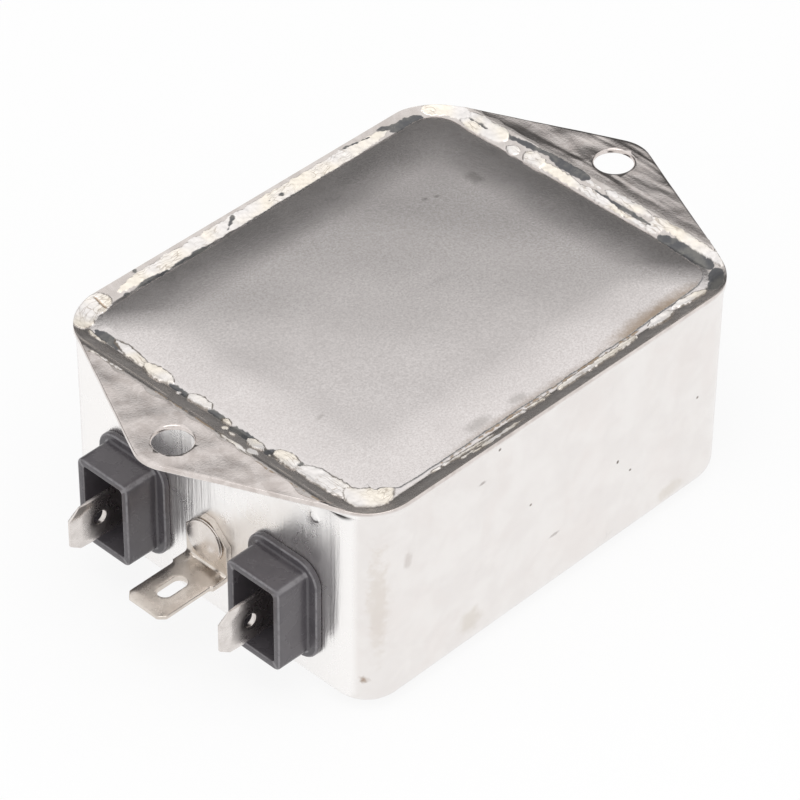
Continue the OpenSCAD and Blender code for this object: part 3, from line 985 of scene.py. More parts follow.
@dataclass(frozen=True)
class SolderPatch:
    """A patch of the seam, as a lens between two points of the side.

    Its middle and width are distances outside the can's outer wall, so that negative ones lie
    towards the cover.  Lean moves the middle outwards towards the patch's far end, and a
    higher bluntness makes a box of the lens.
    """

    edge: Edge
    place: float
    length: float
    middle: float
    width: float
    mark: Mark
    lean: float
    blunt: float
    lift: float


# The patches of each side in the order they lie over one another, as rows of place, length,
# middle, width, mark, lean, bluntness and lift.
PATCHES = {
    Edge.LINE: (
        (27.2, 8.0, -0.9, 2.8, Mark.FROSTED, 0.0, 5.0, 0.12),
        (21.0, 4.2, -1.6, 0.7, Mark.FROSTED, 0.1, 2.0, 0.1),
        (19.0, 8.0, -2.3, 1.3, Mark.DARK, 0.1, 3.0, -0.04),
        (15.2, 7.2, -2.35, 1.25, Mark.FROSTED, -0.4, 2.0, 0.1),
        (10.5, 5.0, -2.1, 1.75, Mark.FROSTED, 0.0, 2.5, 0.22),
        (6.6, 3.6, -1.75, 0.85, Mark.DARK, 0.0, 5.0, -0.05),
        (6.35, 0.55, -1.4, 0.5, Mark.FROSTED, 0.0, 2.0, 0.1),
        (3.4, 3.9, -2.0, 1.35, Mark.FROSTED, 0.0, 4.0, 0.2),
        (0.2, 3.4, -1.75, 0.9, Mark.DARK, 0.0, 4.0, -0.05),
        (-1.3, 1.6, -1.75, 0.75, Mark.FROSTED, 0.0, 2.0, 0.14),
        (-4.4, 4.4, -1.4, 1.3, Mark.DARK, 0.0, 5.0, -0.02),
        (-2.2, 0.7, -0.6, 0.8, Mark.FROSTED, 0.0, 2.0, 0.08),
        (-3.7, 1.0, -0.35, 0.6, Mark.FROSTED, 0.0, 2.0, 0.08),
        (-6.65, 2.7, -1.2, 1.3, Mark.FROSTED, 0.0, 4.0, 0.2),
        (-5.4, 6.2, 0.95, 0.5, Mark.FROSTED, -0.1, 4.0, 0.03),
        (-7.7, 1.7, 0.35, 1.3, Mark.FROSTED, 0.0, 2.0, 0.03),
        (-9.1, 2.2, -1.3, 1.4, Mark.DARK, 0.0, 4.0, -0.04),
        (-9.3, 0.6, -0.9, 0.5, Mark.FROSTED, 0.0, 2.0, 0.1),
        (-11.0, 4.0, -1.9, 1.9, Mark.FROSTED, 0.0, 3.0, 0.22),
        (-16.9, 8.4, -2.35, 2.2, Mark.FROSTED, 0.35, 4.0, 0.16),
        (-12.75, 0.6, -2.4, 0.8, Mark.DARK, 0.0, 2.0, -0.03),
        (-24.9, 11.2, -2.9, 3.0, Mark.FROSTED, 0.1, 4.0, 0.1),
        (-14.0, 10.5, 1.35, 0.22, Mark.FLUX, 0.25, 6.0, 0.02),
        (15.6, 6.0, 1.2, 0.25, Mark.FROSTED, 0.1, 3.0, 0.01),
        (3.0, 12.0, 0.95, 0.16, Mark.FLUX, 0.0, 6.0, 0.01),
    ),
    Edge.LIVE: (
        (-15.5, 10.5, -1.45, 0.5, Mark.FROSTED, 0.3, 2.0, 0.08),
        (-14.0, 5.0, -0.85, 0.25, Mark.FROSTED, -0.1, 2.0, 0.04),
        (-10.4, 8.6, -0.45, 0.6, Mark.FROSTED, 0.0, 3.0, 0.04),
        (-5.5, 4.2, -1.62, 0.42, Mark.FROSTED, 0.15, 2.0, 0.1),
        (-3.1, 3.2, -1.6, 0.4, Mark.FROSTED, 0.2, 2.0, 0.1),
        (-1.1, 1.5, -1.65, 0.42, Mark.FROSTED, 0.0, 2.0, 0.1),
        (7.7, 13.9, -1.5, 0.85, Mark.FROSTED, 0.0, 9.0, 0.14),
        (19.0, 4.4, -1.6, 1.2, Mark.FROSTED, 0.0, 3.0, 0.2),
        (24.2, 5.4, -1.75, 1.05, Mark.FROSTED, 0.35, 2.5, 0.16),
        (7.0, 18.0, -2.02, 0.2, Mark.FLUX, 0.0, 6.0, 0.02),
        (-8.0, 22.0, -1.98, 0.16, Mark.FLUX, 0.0, 6.0, 0.02),
    ),
    Edge.LOAD: (
        (-25.5, 5.4, -1.0, 1.9, Mark.DARK, 0.0, 4.0, -0.05),
        (-18.0, 9.6, -1.25, 1.9, Mark.DARK, 0.0, 5.0, -0.22),
        (-16.8, 12.6, 0.25, 1.2, Mark.FROSTED, 0.25, 4.0, 0.12),
        (-12.0, 2.2, -0.5, 1.8, Mark.FROSTED, 0.0, 3.0, 0.08),
        (-6.3, 10.4, -0.4, 0.6, Mark.DARK, 0.1, 4.0, -0.06),
        (-6.9, 7.6, 0.45, 1.1, Mark.FROSTED, 0.0, 2.5, 0.14),
        (-8.4, 6.2, -1.08, 0.6, Mark.FROSTED, 0.0, 4.0, 0.12),
        (-3.1, 6.6, -0.85, 1.0, Mark.FROSTED, 0.1, 3.0, 0.14),
        (-1.2, 2.4, 0.38, 0.4, Mark.FROSTED, 0.0, 3.0, 0.06),
        (3.0, 6.8, 0.7, 1.3, Mark.DARK, 0.0, 4.0, -0.01),
        (9.0, 10.5, 0.65, 0.6, Mark.DARK, -0.5, 4.0, -0.03),
        (3.2, 6.8, -0.75, 1.15, Mark.FROSTED, 0.1, 4.0, 0.1),
        (7.7, 3.4, -0.7, 1.6, Mark.FROSTED, 0.0, 3.5, 0.25),
        (11.1, 1.9, -1.0, 1.4, Mark.FROSTED, 0.0, 2.0, 0.18),
        (16.7, 7.8, -0.25, 2.4, Mark.FROSTED, -0.1, 4.0, 0.16),
        (17.8, 3.6, -0.25, 0.25, Mark.DARK, 0.0, 3.0, -0.02),
        (22.8, 7.0, -0.25, 1.9, Mark.FROSTED, -0.2, 5.0, 0.06),
        (29.5, 6.0, -1.4, 1.6, Mark.DARK, 0.2, 3.0, -0.06),
    ),
    Edge.NEUTRAL: (
        (0.0, 46.0, -0.8, 1.7, Mark.FROSTED, 0.0, 9.0, 0.05),
        (23.3, 3.4, -0.6, 0.7, Mark.DARK, -0.5, 3.0, -0.05),
        (18.0, 4.4, -0.15, 0.32, Mark.DARK, -0.25, 2.5, -0.03),
        (4.3, 0.8, -0.9, 0.5, Mark.DARK, 0.0, 2.0, -0.04),
        (2.3, 0.5, -0.8, 0.3, Mark.DARK, 0.0, 2.0, -0.04),
        (-4.2, 2.2, -0.7, 0.5, Mark.DARK, 0.6, 2.5, -0.04),
        (-19.2, 0.7, 0.3, 0.5, Mark.DARK, 0.0, 2.0, -0.03),
        (-11.8, 6.6, -1.85, 0.8, Mark.DARK, 0.0, 2.0, -0.08),
        (-18.2, 5.2, -1.8, 0.9, Mark.DARK, -0.1, 2.0, -0.08),
        (-22.4, 1.0, -1.8, 0.6, Mark.DARK, 0.0, 2.0, -0.05),
        (8.0, 22.0, -2.05, 0.5, Mark.DARK, 0.0, 8.0, -0.05),
        (-25.9, 0.4, -1.0, 2.4, Mark.FLUX, 0.0, 2.0, -0.01),
    ),
}

# How far in the solder was wiped on each side: places along the side and the seam's inner edge.
INNER_EDGE = {
    Edge.LOAD: ((-27.0, -2.7), (-20.0, -2.3), (-14.5, -1.9), (-12.0, -1.65), (0.0, -1.6),
                (8.0, -1.7), (14.0, -1.62), (22.0, -1.6), (28.0, -1.7)),
    Edge.NEUTRAL: ((23.0, -1.9), (18.0, -1.75), (5.0, -2.0), (-3.0, -2.1), (-8.0, -2.3),
                   (-14.0, -2.3), (-20.0, -2.1), (-26.5, -2.4)),
    Edge.LINE: ((25.0, -3.2), (20.5, -3.3), (14.0, -2.95), (11.5, -3.0), (9.5, -2.7),
                (8.0, -2.2), (6.0, -2.2), (4.2, -2.7), (2.2, -2.65), (1.0, -2.2),
                (-2.0, -2.3), (-5.0, -2.05), (-8.0, -2.25), (-10.5, -2.9), (-12.5, -2.7),
                (-15.0, -3.3), (-19.0, -4.0), (-24.5, -4.9), (-29.0, -3.7)),
    Edge.LIVE: ((-24.3, -2.3), (-22.0, -2.12), (0.0, -2.1), (14.0, -2.12), (19.0, -2.35),
                (24.0, -2.4)),
}


@dataclass
class SolderSeam:
    """The solder that closes the groove between the cover and the can, as it was laid."""

    mouth: Mouth = field(default_factory=Mouth)
    cover: Cover = field(default_factory=Cover)
    outermost: float = 1.75
    shoulder: tuple[float, float] = (1.28, 31.1)
    trough: tuple[float, float] = (-1.6, 30.2)
    thickness: float = 0.012
    patches: tuple[SolderPatch, ...] = tuple(
        SolderPatch(edge, *row) for edge, rows in PATCHES.items() for row in rows
    )

    @property
    def whole(self) -> float:
        """Run once round the outer wall."""
        return 4 * sum(self.mouth.corner[:2]) + 2 * math.pi * self.mouth.radius

    def place(self, edge: Edge, place: float) -> float:
        """Run round the outer wall at a place along a side.

        Args:
            edge: The side.
            place: X or Y of the place.

        Returns:
            Its distance round the wall from the middle of the load end.
        """
        cx, cy = self.mouth.corner[:2]
        bend = self.mouth.radius * math.pi / 2
        if edge is Edge.LOAD:
            return place % self.whole
        if edge is Edge.NEUTRAL:
            return cy + bend + cx - place
        if edge is Edge.LINE:
            return 2 * (cy + cx + bend) - place
        return 3 * (cy + bend + cx) + place

    def inner_edge(self, run: Array) -> Array:
        """Where the seam ends on the cover, joined smoothly between the given places."""
        knots = sorted(
            (self.place(edge, place), offset)
            for edge, places in INNER_EDGE.items() for place, offset in places
        )
        at = np.array([knot[0] for knot in knots])
        value = np.array([knot[1] for knot in knots])
        at = np.concatenate([at[-1:] - self.whole, at, at[:1] + self.whole])
        value = np.concatenate([value[-1:], value, value[:1]])
        index = np.clip(np.searchsorted(at, run) - 1, 0, len(at) - 2)
        share = smooth_step(0.0, 1.0, (run - at[index]) / (at[index + 1] - at[index]))
        return value[index] * (1.0 - share) + value[index + 1] * share

    def mask(self, patch: SolderPatch, run: Array, offset: Array,
             ragged: Array) -> tuple[Array, Array]:
        """How far each point lies in a patch, with a ragged outline.

        Across, the point's distance from the patch's leaning middle line is taken as a share
        of the lens's half width there; noise moves the outline.

        Args:
            patch: The patch.
            run: Run round the outer wall.
            offset: Distance outside it.
            ragged: Noise at each point.

        Returns:
            0 outside to 1 inside, and the same for the thin line round the patch.
        """
        far = self.place(patch.edge, patch.place)
        along = (run - far + self.whole / 2) % self.whole - self.whole / 2
        if patch.edge in (Edge.NEUTRAL, Edge.LINE):
            along = -along
        along = along / (patch.length / 2)
        inside_ends = np.clip(1.0 - np.abs(along) ** patch.blunt, 1e-3, 1.0) ** 0.7
        half = patch.width / 2 * inside_ends
        edge = half - np.abs(offset - patch.middle - patch.lean * along) + 0.13 * ragged
        near = np.abs(along) < 1.0
        round_it = smooth_step(-0.2, -0.08, edge) * smooth_step(0.12, 0.0, edge)
        return smooth_step(-0.03, 0.05, edge) * near, round_it * near

    def skin(self) -> Skin:
        """The seam's upper surface with its patches, closed below inside the metal.

        The base is the highest of the cover's edge, the mouth's draw radius and a straight
        fillet of tin from the trough up to the shoulder; patches raise or lower it and add
        marks.  A dark line follows the inner edge on the live side.

        Returns:
            The closed skin with a mark attribute for each kind of patch.
        """
        ring = Ring.make(356, 274, 56)
        limit = np.minimum(self.outermost, self.mouth.reach(ring) - 0.04)[:, None]
        run = self.mouth.run(ring)[:, None]
        wall = self.mouth.plan(ring, np.zeros(1))
        place = np.concatenate([wall, np.zeros_like(wall[..., :1])], -1)
        facing = np.clip(-ring.normal.min(1), 0.0, 1.0)[:, None]
        line_side = np.clip(-ring.normal[:, :1], 0.0, 1.0)
        inner = self.inner_edge(run) + 0.05 * Ripple(31, 2.4).at(place)
        inner = inner - 0.2 * facing - 0.2 * line_side
        inner = inner + 0.015 * Ripple(32, 0.9).at(place)
        outer = limit - (limit > 1.0) * 0.3 * (1.0 + Ripple(33, 3.0, 30).at(place))
        share = np.linspace(0.0, 1.0, 44)[None]
        offset = inner + (outer - inner) * share
        plan = self.mouth.plan(ring, offset)
        bend = self.cover.edge
        cover_in = -0.8 - bend - offset
        flat = self.cover.panel(plan, cover_in)
        edge_drop = bend - np.sqrt(np.clip(bend**2 - np.clip(-cover_in, 0, bend) ** 2, 0, None))
        cover_z = np.where(offset < -0.8, flat - edge_drop, 0.0)
        drawn = np.where(offset > -0.7, self.mouth.draw_height(offset), 0.0)
        (high_at, high), (low_at, low) = self.shoulder, self.trough
        rise = np.clip((offset - low_at) / (high_at - low_at), 0.0, 1.0)
        fillet = low + (high - low) * (0.8 * rise + 0.2 * smooth_step(0.0, 1.0, rise))
        base = np.maximum(np.maximum(cover_z, drawn), fillet)
        points = np.concatenate([plan, base[..., None]], -1)
        rough = Ripple(35, 0.8, 28).at(points) * 0.7 + Ripple(36, 2.2).at(points) * 0.6
        rough = rough + Ripple(34, 0.4, 28).at(points) * 0.25
        marks = {mark: np.zeros_like(base) for mark in Mark}
        lift = np.zeros_like(base)
        for patch in self.patches:
            amount, outline = self.mask(patch, run, offset, rough)
            for mark in Mark:
                if mark is patch.mark:
                    marks[mark] = np.maximum(marks[mark], amount)
                else:
                    marks[mark] = marks[mark] * (1.0 - amount)
            if patch.mark is Mark.FROSTED:
                marks[Mark.OUTLINE] = np.maximum(marks[Mark.OUTLINE], outline * facing)
            lift = lift * (1.0 - amount) + patch.lift * amount
        live = np.clip(-ring.normal[:, 1:], 0.0, 1.0)
        line = smooth_step(0.3, 0.12, offset - inner) * live
        marks[Mark.DARK] = np.maximum(marks[Mark.DARK], line * 0.9)
        marks[Mark.FROSTED] = marks[Mark.FROSTED] * (1.0 - line)
        rim = smooth_step(0.0, 0.05, share) * smooth_step(1.0, 0.95, share)
        grain = Ripple(37, 0.8, 30).at(points) * 0.5 + Ripple(38, 2.0, 24).at(points) * 0.5
        bead = lift + (0.008 + 0.04 * marks[Mark.FROSTED]) * grain
        points[..., 2] += self.thickness + rim * np.maximum(bead, -0.4 * self.thickness)
        points[..., 2] = np.minimum(points[..., 2], self.mouth.height)
        below = np.array([[0.02, -0.3], [0.12, -0.4], [0.35, -0.5], [0.6, -0.9], [0.9, -0.5],
                          [0.98, -0.2]])
        inward = below[None, :, 0]
        under = self.mouth.plan(ring, outer + (inner - outer) * inward)
        under_z = points[:, -1:, 2] * (1.0 - inward) + points[:, :1, 2] * inward + below[:, 1]
        under = np.concatenate([under, under_z[..., None]], -1)
        whole = np.concatenate([points, under, points[:, :1]], 1)
        hidden = len(below) + 1
        given = {
            mark.value: np.concatenate([value, np.zeros((len(value), hidden))], 1)
            for mark, value in marks.items()
        }
        spread = np.concatenate([offset, np.full((len(offset), hidden), 9.0)], 1)
        flat_place = np.stack([np.broadcast_to(run, spread.shape), spread], -1)
        return Skin.grid(whole, flat_place, given)

    def build(self, material: bpy.types.Material) -> None:
        """Makes the seam."""
        Piece("solder_bead", ("solder_seam",), "solder", [self.skin()], 60.0).make(material)


# ------------------------------------------------------------------ the terminals


@dataclass
class Shroud:
    """Moulded surround of one blade, with a collar against the wall."""

    name: str
    side: int
    end: int
    body: Triple = (4.3, 6.25, 1.0)
    collar: Triple = (5.7, 7.4, 3.0)
    bore: Triple = (3.3, 5.25, 0.5)
    spigot: Triple = (4.15, 6.1, 0.85)
    collar_reach: float = 0.85
    reach: float = 5.5
    round: float = 0.28

    def skin(self) -> Skin:
        """A rounded rectangle carried out from the wall through every step of the section.

        Returns:
            The closed skin of the shroud with softly rounded rims, its "edge" attribute 1
            along the front rim, the collar's rim and the body's upright corners.
        """
        ring = Ring.make(14, 20, 8)
        rows = []

        def step(size: Triple, grow: float, x: float) -> None:
            rows.append((size[0] + grow, size[1] + grow, max(size[2] + grow, 0.08), x))

        e = self.round
        for grow, x in ((-0.2, -2.1), (0.0, -1.9), (0.0, 0.0)):
            step(self.spigot, grow, x)
        turns = np.radians(np.linspace(0, 90, 6))
        for t in turns:
            step(self.collar, -0.15 * (1 - math.sin(t)), 0.15 * (1 - math.cos(t)))
        for t in turns:
            step(self.collar, -e * (1 - math.cos(t)), self.collar_reach - e + e * math.sin(t))
        for t in turns:
            step(self.body, 0.3 * (1 - math.sin(t)), self.collar_reach + 0.3 * (1 - math.cos(t)))
        for x in np.linspace(self.collar_reach + 0.6, self.reach - 0.6, 6):
            step(self.body, 0.03 * (1 - (x - 1.4) / 3.5), x)
        for t in turns:
            step(self.body, -e * (1 - math.cos(t)), self.reach - e + e * math.sin(t))
        rim_end = len(rows) + 1
        for t in turns:
            step(self.bore, 0.2 * (1 - math.sin(t)), self.reach - 0.2 * (1 - math.cos(t)))
        for x in np.linspace(self.reach - 0.6, 0.7, 6):
            step(self.bore, -0.04 * (self.reach - x) / 5, x)
        for t in turns:
            step(self.bore, -0.04 - 0.25 * (1 - math.cos(t)), 0.4 + 0.25 - 0.25 * math.sin(t))
        sizes = np.array(rows)
        plan = ring.plan(sizes[:, 0], sizes[:, 1], sizes[:, 2])
        shape = plan.shape[:2]
        bend = np.abs(ring.normal).min(1)[:, None] > 0.5
        front = np.abs(sizes[:, 3] - self.reach + 0.08) < 0.07
        fold = np.abs(sizes[:, 3] - self.collar_reach + 0.08) < 0.07
        outside = np.arange(len(sizes)) < rim_end
        body = (sizes[:, 3] > self.collar_reach) & outside
        edge = np.maximum(np.broadcast_to(np.maximum(front, fold), shape), bend & body) * 1.0
        points = np.stack([np.broadcast_to(WALL_X + sizes[:, 3], shape), plan[..., 0],
                           plan[..., 1] + ROW_Z], -1)
        ends = [points[:, :1] * [1, 0, 0] + [0, 0, ROW_Z], points,
                points[:, -1:] * [1, 0, 0] + [0, 0, ROW_Z]]
        points = np.concatenate(ends, 1)
        points[..., :2] *= self.end
        points[..., 1] += self.side * SIDE_Y
        edge = np.concatenate([edge[:, :1] * 0, edge, edge[:, :1] * 0], 1)
        return Skin.grid(points, None, {"edge": edge})

    def build(self, material: bpy.types.Material) -> None:
        """Makes the shroud in place of its CAD node."""
        Piece(f"moulded_{self.name}", (self.name,), "shroud", [self.skin()], 34.0).make(material)


@dataclass
class Blade:
    """Flat push-on blade standing on edge, with coined edges and a locking hole."""

    name: str
    side: int
    end: int
    half: float = 3.15
    tip: float = 42.9
    thickness: float = 0.8
    dimple: tuple[float, float] = (4.6, 0.95)
    tail: tuple[float, float] = (28.4, 0.7)

    def skins(self) -> list[Skin]:
        """The stamping with its edges and tip coined thinner, stood on edge at its place."""
        h, tip = self.half, self.tip
        outline = np.array([
            [27.0, -2.2], [29.4, -2.2], [29.4, -h], [tip - 1.6, -h], [tip, 1.2 - h],
            [tip, h - 1.2], [tip - 1.6, h], [29.4, h], [29.4, 2.2], [27.0, 2.2],
        ])
        back, hole = self.dimple
        holes = [arc((tip - back, 0.0), hole, 0, 350, 35),
                 arc((self.tail[0], 0.0), self.tail[1], 0, 345, 23)]
        skins = Stamping(outline, holes, self.thickness, 0.07, 0.3).skins()
        for skin in skins:
            along, across, level = skin.points.T
            from_side = np.clip((h - np.abs(across)) / 0.75, 0.0, 1.0)
            slant = (tip - along + np.minimum(0.0, h - 1.2 - np.abs(across)) * 1.333) / 1.5
            coined = 1.0 - 0.42 * (1.0 - from_side) * (along > 29.5)
            coined *= 1.0 - 0.55 * (1.0 - np.clip(slant, 0.0, 1.0))
            around = np.hypot(along - (tip - back), across) - hole
            coined *= 1.0 - 0.16 * np.exp(-((around / 0.35) ** 2))
            place = np.stack([along, level * coined, across + ROW_Z], -1)
            place[:, :2] *= self.end
            place[:, 1] += self.side * SIDE_Y
            skin.points = place
        return skins

    def build(self, material: bpy.types.Material) -> None:
        """Makes the blade in place of its CAD node."""
        Piece(f"stamped_{self.name}", (self.name,), "tab", self.skins(), 28.0).make(material)


@dataclass
class EarthTab:
    """The bent earth strip: a slotted blade, two pressed gussets and a pointed foot."""

    reach: float = 11.1
    top: float = 9.05
    thickness: float = 0.8
    fold: float = 0.4
    slot: tuple[float, float] = (3.6, 5.8)

    def fold_up(self, skin: Skin) -> Skin:
        """Bends the flat strip: its length runs in from the tip, round the fold and up.

        Args:
            skin: Skin in flat coordinates.

        Returns:
            The same skin in place.
        """
        along, across, level = skin.points.T
        mid = self.fold + self.thickness / 2
        outer = self.fold + self.thickness
        flat = self.reach - outer
        turn = mid * np.pi / 2
        for side in (-1, 1):
            far = (along - flat - turn / 2) ** 2 / 0.5 + (across - side * 2.4) ** 2 / 0.28
            level = level + 0.42 * np.exp(-far)
        angle = -np.pi / 2 - np.clip(along - flat, 0.0, turn) / mid
        radius = mid - level
        out = outer + radius * np.cos(angle) + np.maximum(flat - along, 0.0)
        up = self.top + self.fold + radius * np.sin(angle) + np.maximum(along - flat - turn, 0.0)
        skin.points = np.stack([-WALL_X - out, -across, up], -1)
        return skin

    def skins(self) -> list[Skin]:
        """The strip's outline with its slot, folded up."""
        shoulder, foot, top, half, wide = self.reach - 3.3, 15.107, 17.807, 3.15, 3.45
        outline = np.array([
            [0.0, -2.35], [0.0, 2.35], [0.8, half], [shoulder, half], [shoulder + 0.25, wide],
            [foot, wide], [top, 0.75], [top, -0.75], [foot, -wide], [shoulder + 0.25, -wide],
            [shoulder, -half], [0.8, -half],
        ])[::-1]
        (near, far), round_end = self.slot, 1.05
        slot = np.concatenate([arc((far, 0.0), round_end, -90, 90, 18),
                               arc((near, 0.0), round_end, 90, 270, 18)])
        skins = Stamping(outline, [slot], self.thickness, 0.08, 0.32).skins()
        for skin in skins:
            along, across, level = skin.points.T
            thin = 1.0 - 0.45 * (1.0 - np.clip(along / 1.2, 0.0, 1.0))
            rubbed = 1.0 - np.clip((half - np.abs(across)) / 0.6, 0.0, 1.0)
            thin *= 1.0 - 0.3 * rubbed * (along < 7.5)
            skin.points[:, 2] = level * thin
        return [self.fold_up(skin) for skin in skins]

    def build(self, material: bpy.types.Material) -> None:
        """Makes the strip."""
        Piece("folded_earth_tab", ("earth_tab",), "tab", self.skins(), 28.0).make(material)


@dataclass
class Rivet:
    """The rivet that holds the earth strip: a domed head over a flat ring."""

    face: float = WALL_X + 0.8
    height: float = 13.0
    head: float = 2.68
    dome: float = 0.5

    def build(self, material: bpy.types.Material) -> None:
        """Turns the section of head, ring, shank and inner tail about X."""
        ball = (self.head**2 + self.dome**2) / (2 * self.dome)
        lean = np.linspace(0.0, math.asin(self.head / ball), 14)
        dome = np.stack([ball * np.sin(lean), self.face + 1.02 - ball + ball * np.cos(lean)], -1)
        edge = arc((self.head, self.face + 0.42), 0.1, 80, -90, 8)
        section = np.concatenate([
            dome, edge, [[2.5, self.face + 0.3]],
            arc((2.78, self.face + 0.18), 0.09, 90, -60, 6),
            [[2.6, self.face + 0.0], [1.45, self.face], [1.45, 31.3], [2.25, 31.3],
             [2.3, 31.2], [2.3, 30.5], [2.2, 30.4], [0.0, 30.4]],
        ])
        skin = turned(section, 72, np.array([0.0, 0.0, self.height]), "x")
        skin.points[:, 0] *= -1.0
        Piece("set_earth_rivet", ("earth_rivet",), "rivet", [skin], 28.0).make(material)


# ------------------------------------------------------------------ finishes

CAN_STAINS_AND_SHADOW = (
    PlacedSpot((-14.8, -25.8, 5.1), (2.6, 2.0, 2.6), (0.5, 0.42, 0.3), 0.25),
    PlacedSpot((20.9, -25.8, 3.2), (3.2, 2.0, 1.8), (0.5, 0.42, 0.3), 0.25),
    PlacedSpot((-31.2, -24.4, 5.0), (1.1, 1.1, 1.0), (0.26, 0.15, 0.07), 0.8),
    # A darker brownish band up the rounded near corner.
    PlacedSpot((-29.8, -25.2, 17.0), (2.2, 1.6, 11.0), (0.62, 0.53, 0.44), 0.3, 1.6),
    # Painted shadow: a near-black patch on the line end just under the flange at the live corner.
    PlacedSpot((-32.0, -21.4, 29.6), (1.2, 2.2, 0.8), (0.02, 0.018, 0.016), 0.9, 0.6),
    PlacedSpot((-10.5, -25.8, 28.8), (0.35, 1.0, 0.3), (0.12, 0.09, 0.07), 0.9),
    PlacedSpot((-4.8, -25.8, 16.8), (0.3, 1.0, 0.25), (0.16, 0.12, 0.09), 0.9),
    PlacedSpot((10.6, -25.8, 14.0), (0.25, 1.0, 0.3), (0.14, 0.11, 0.09), 0.9),
    PlacedSpot((13.0, -25.8, 11.3), (0.3, 1.0, 0.22), (0.14, 0.11, 0.09), 0.9),
    PlacedSpot((24.9, -25.8, 15.6), (0.3, 1.0, 0.3), (0.16, 0.13, 0.1), 0.8),
    PlacedSpot((-25.5, -25.8, 21.4), (0.9, 1.0, 1.9), (0.5, 0.44, 0.4), 0.4),
    PlacedSpot((-13.3, -25.8, 25.4), (0.9, 1.0, 0.35), (0.3, 0.26, 0.24), 0.6),
    PlacedSpot((-0.4, -25.8, 9.4), (1.3, 1.0, 0.35), (0.3, 0.26, 0.24), 0.5),
)

COVER_STAINS = (
    PlacedSpot((23.1, 10.1, 30.7), (1.4, 2.0, 1.5), (0.3, 0.28, 0.26), 0.45),
    PlacedSpot((15.5, 11.3, 30.7), (0.6, 0.5, 1.0), (0.25, 0.22, 0.2), 0.5),
    PlacedSpot((17.0, 10.7, 30.7), (0.5, 0.4, 1.0), (0.25, 0.22, 0.2), 0.45),
    PlacedSpot((-22.6, -8.8, 30.7), (0.9, 0.4, 1.5), (0.4, 0.37, 0.35), 0.4),
    PlacedSpot((-10.4, -22.2, 30.5), (2.6, 1.1, 1.5), (0.42, 0.39, 0.37), 0.55, 0.6),
    PlacedSpot((-3.9, -22.3, 30.5), (2.0, 0.9, 1.5), (0.42, 0.39, 0.37), 0.5, 0.6),
    PlacedSpot((19.5, -23.8, 30.3), (13.0, 2.7, 1.5), (0.36, 0.27, 0.19), 0.85, 0.5),
    PlacedSpot((-4.0, -24.2, 30.3), (22.0, 1.8, 1.5), (0.4, 0.33, 0.28), 0.75, 0.5),
)


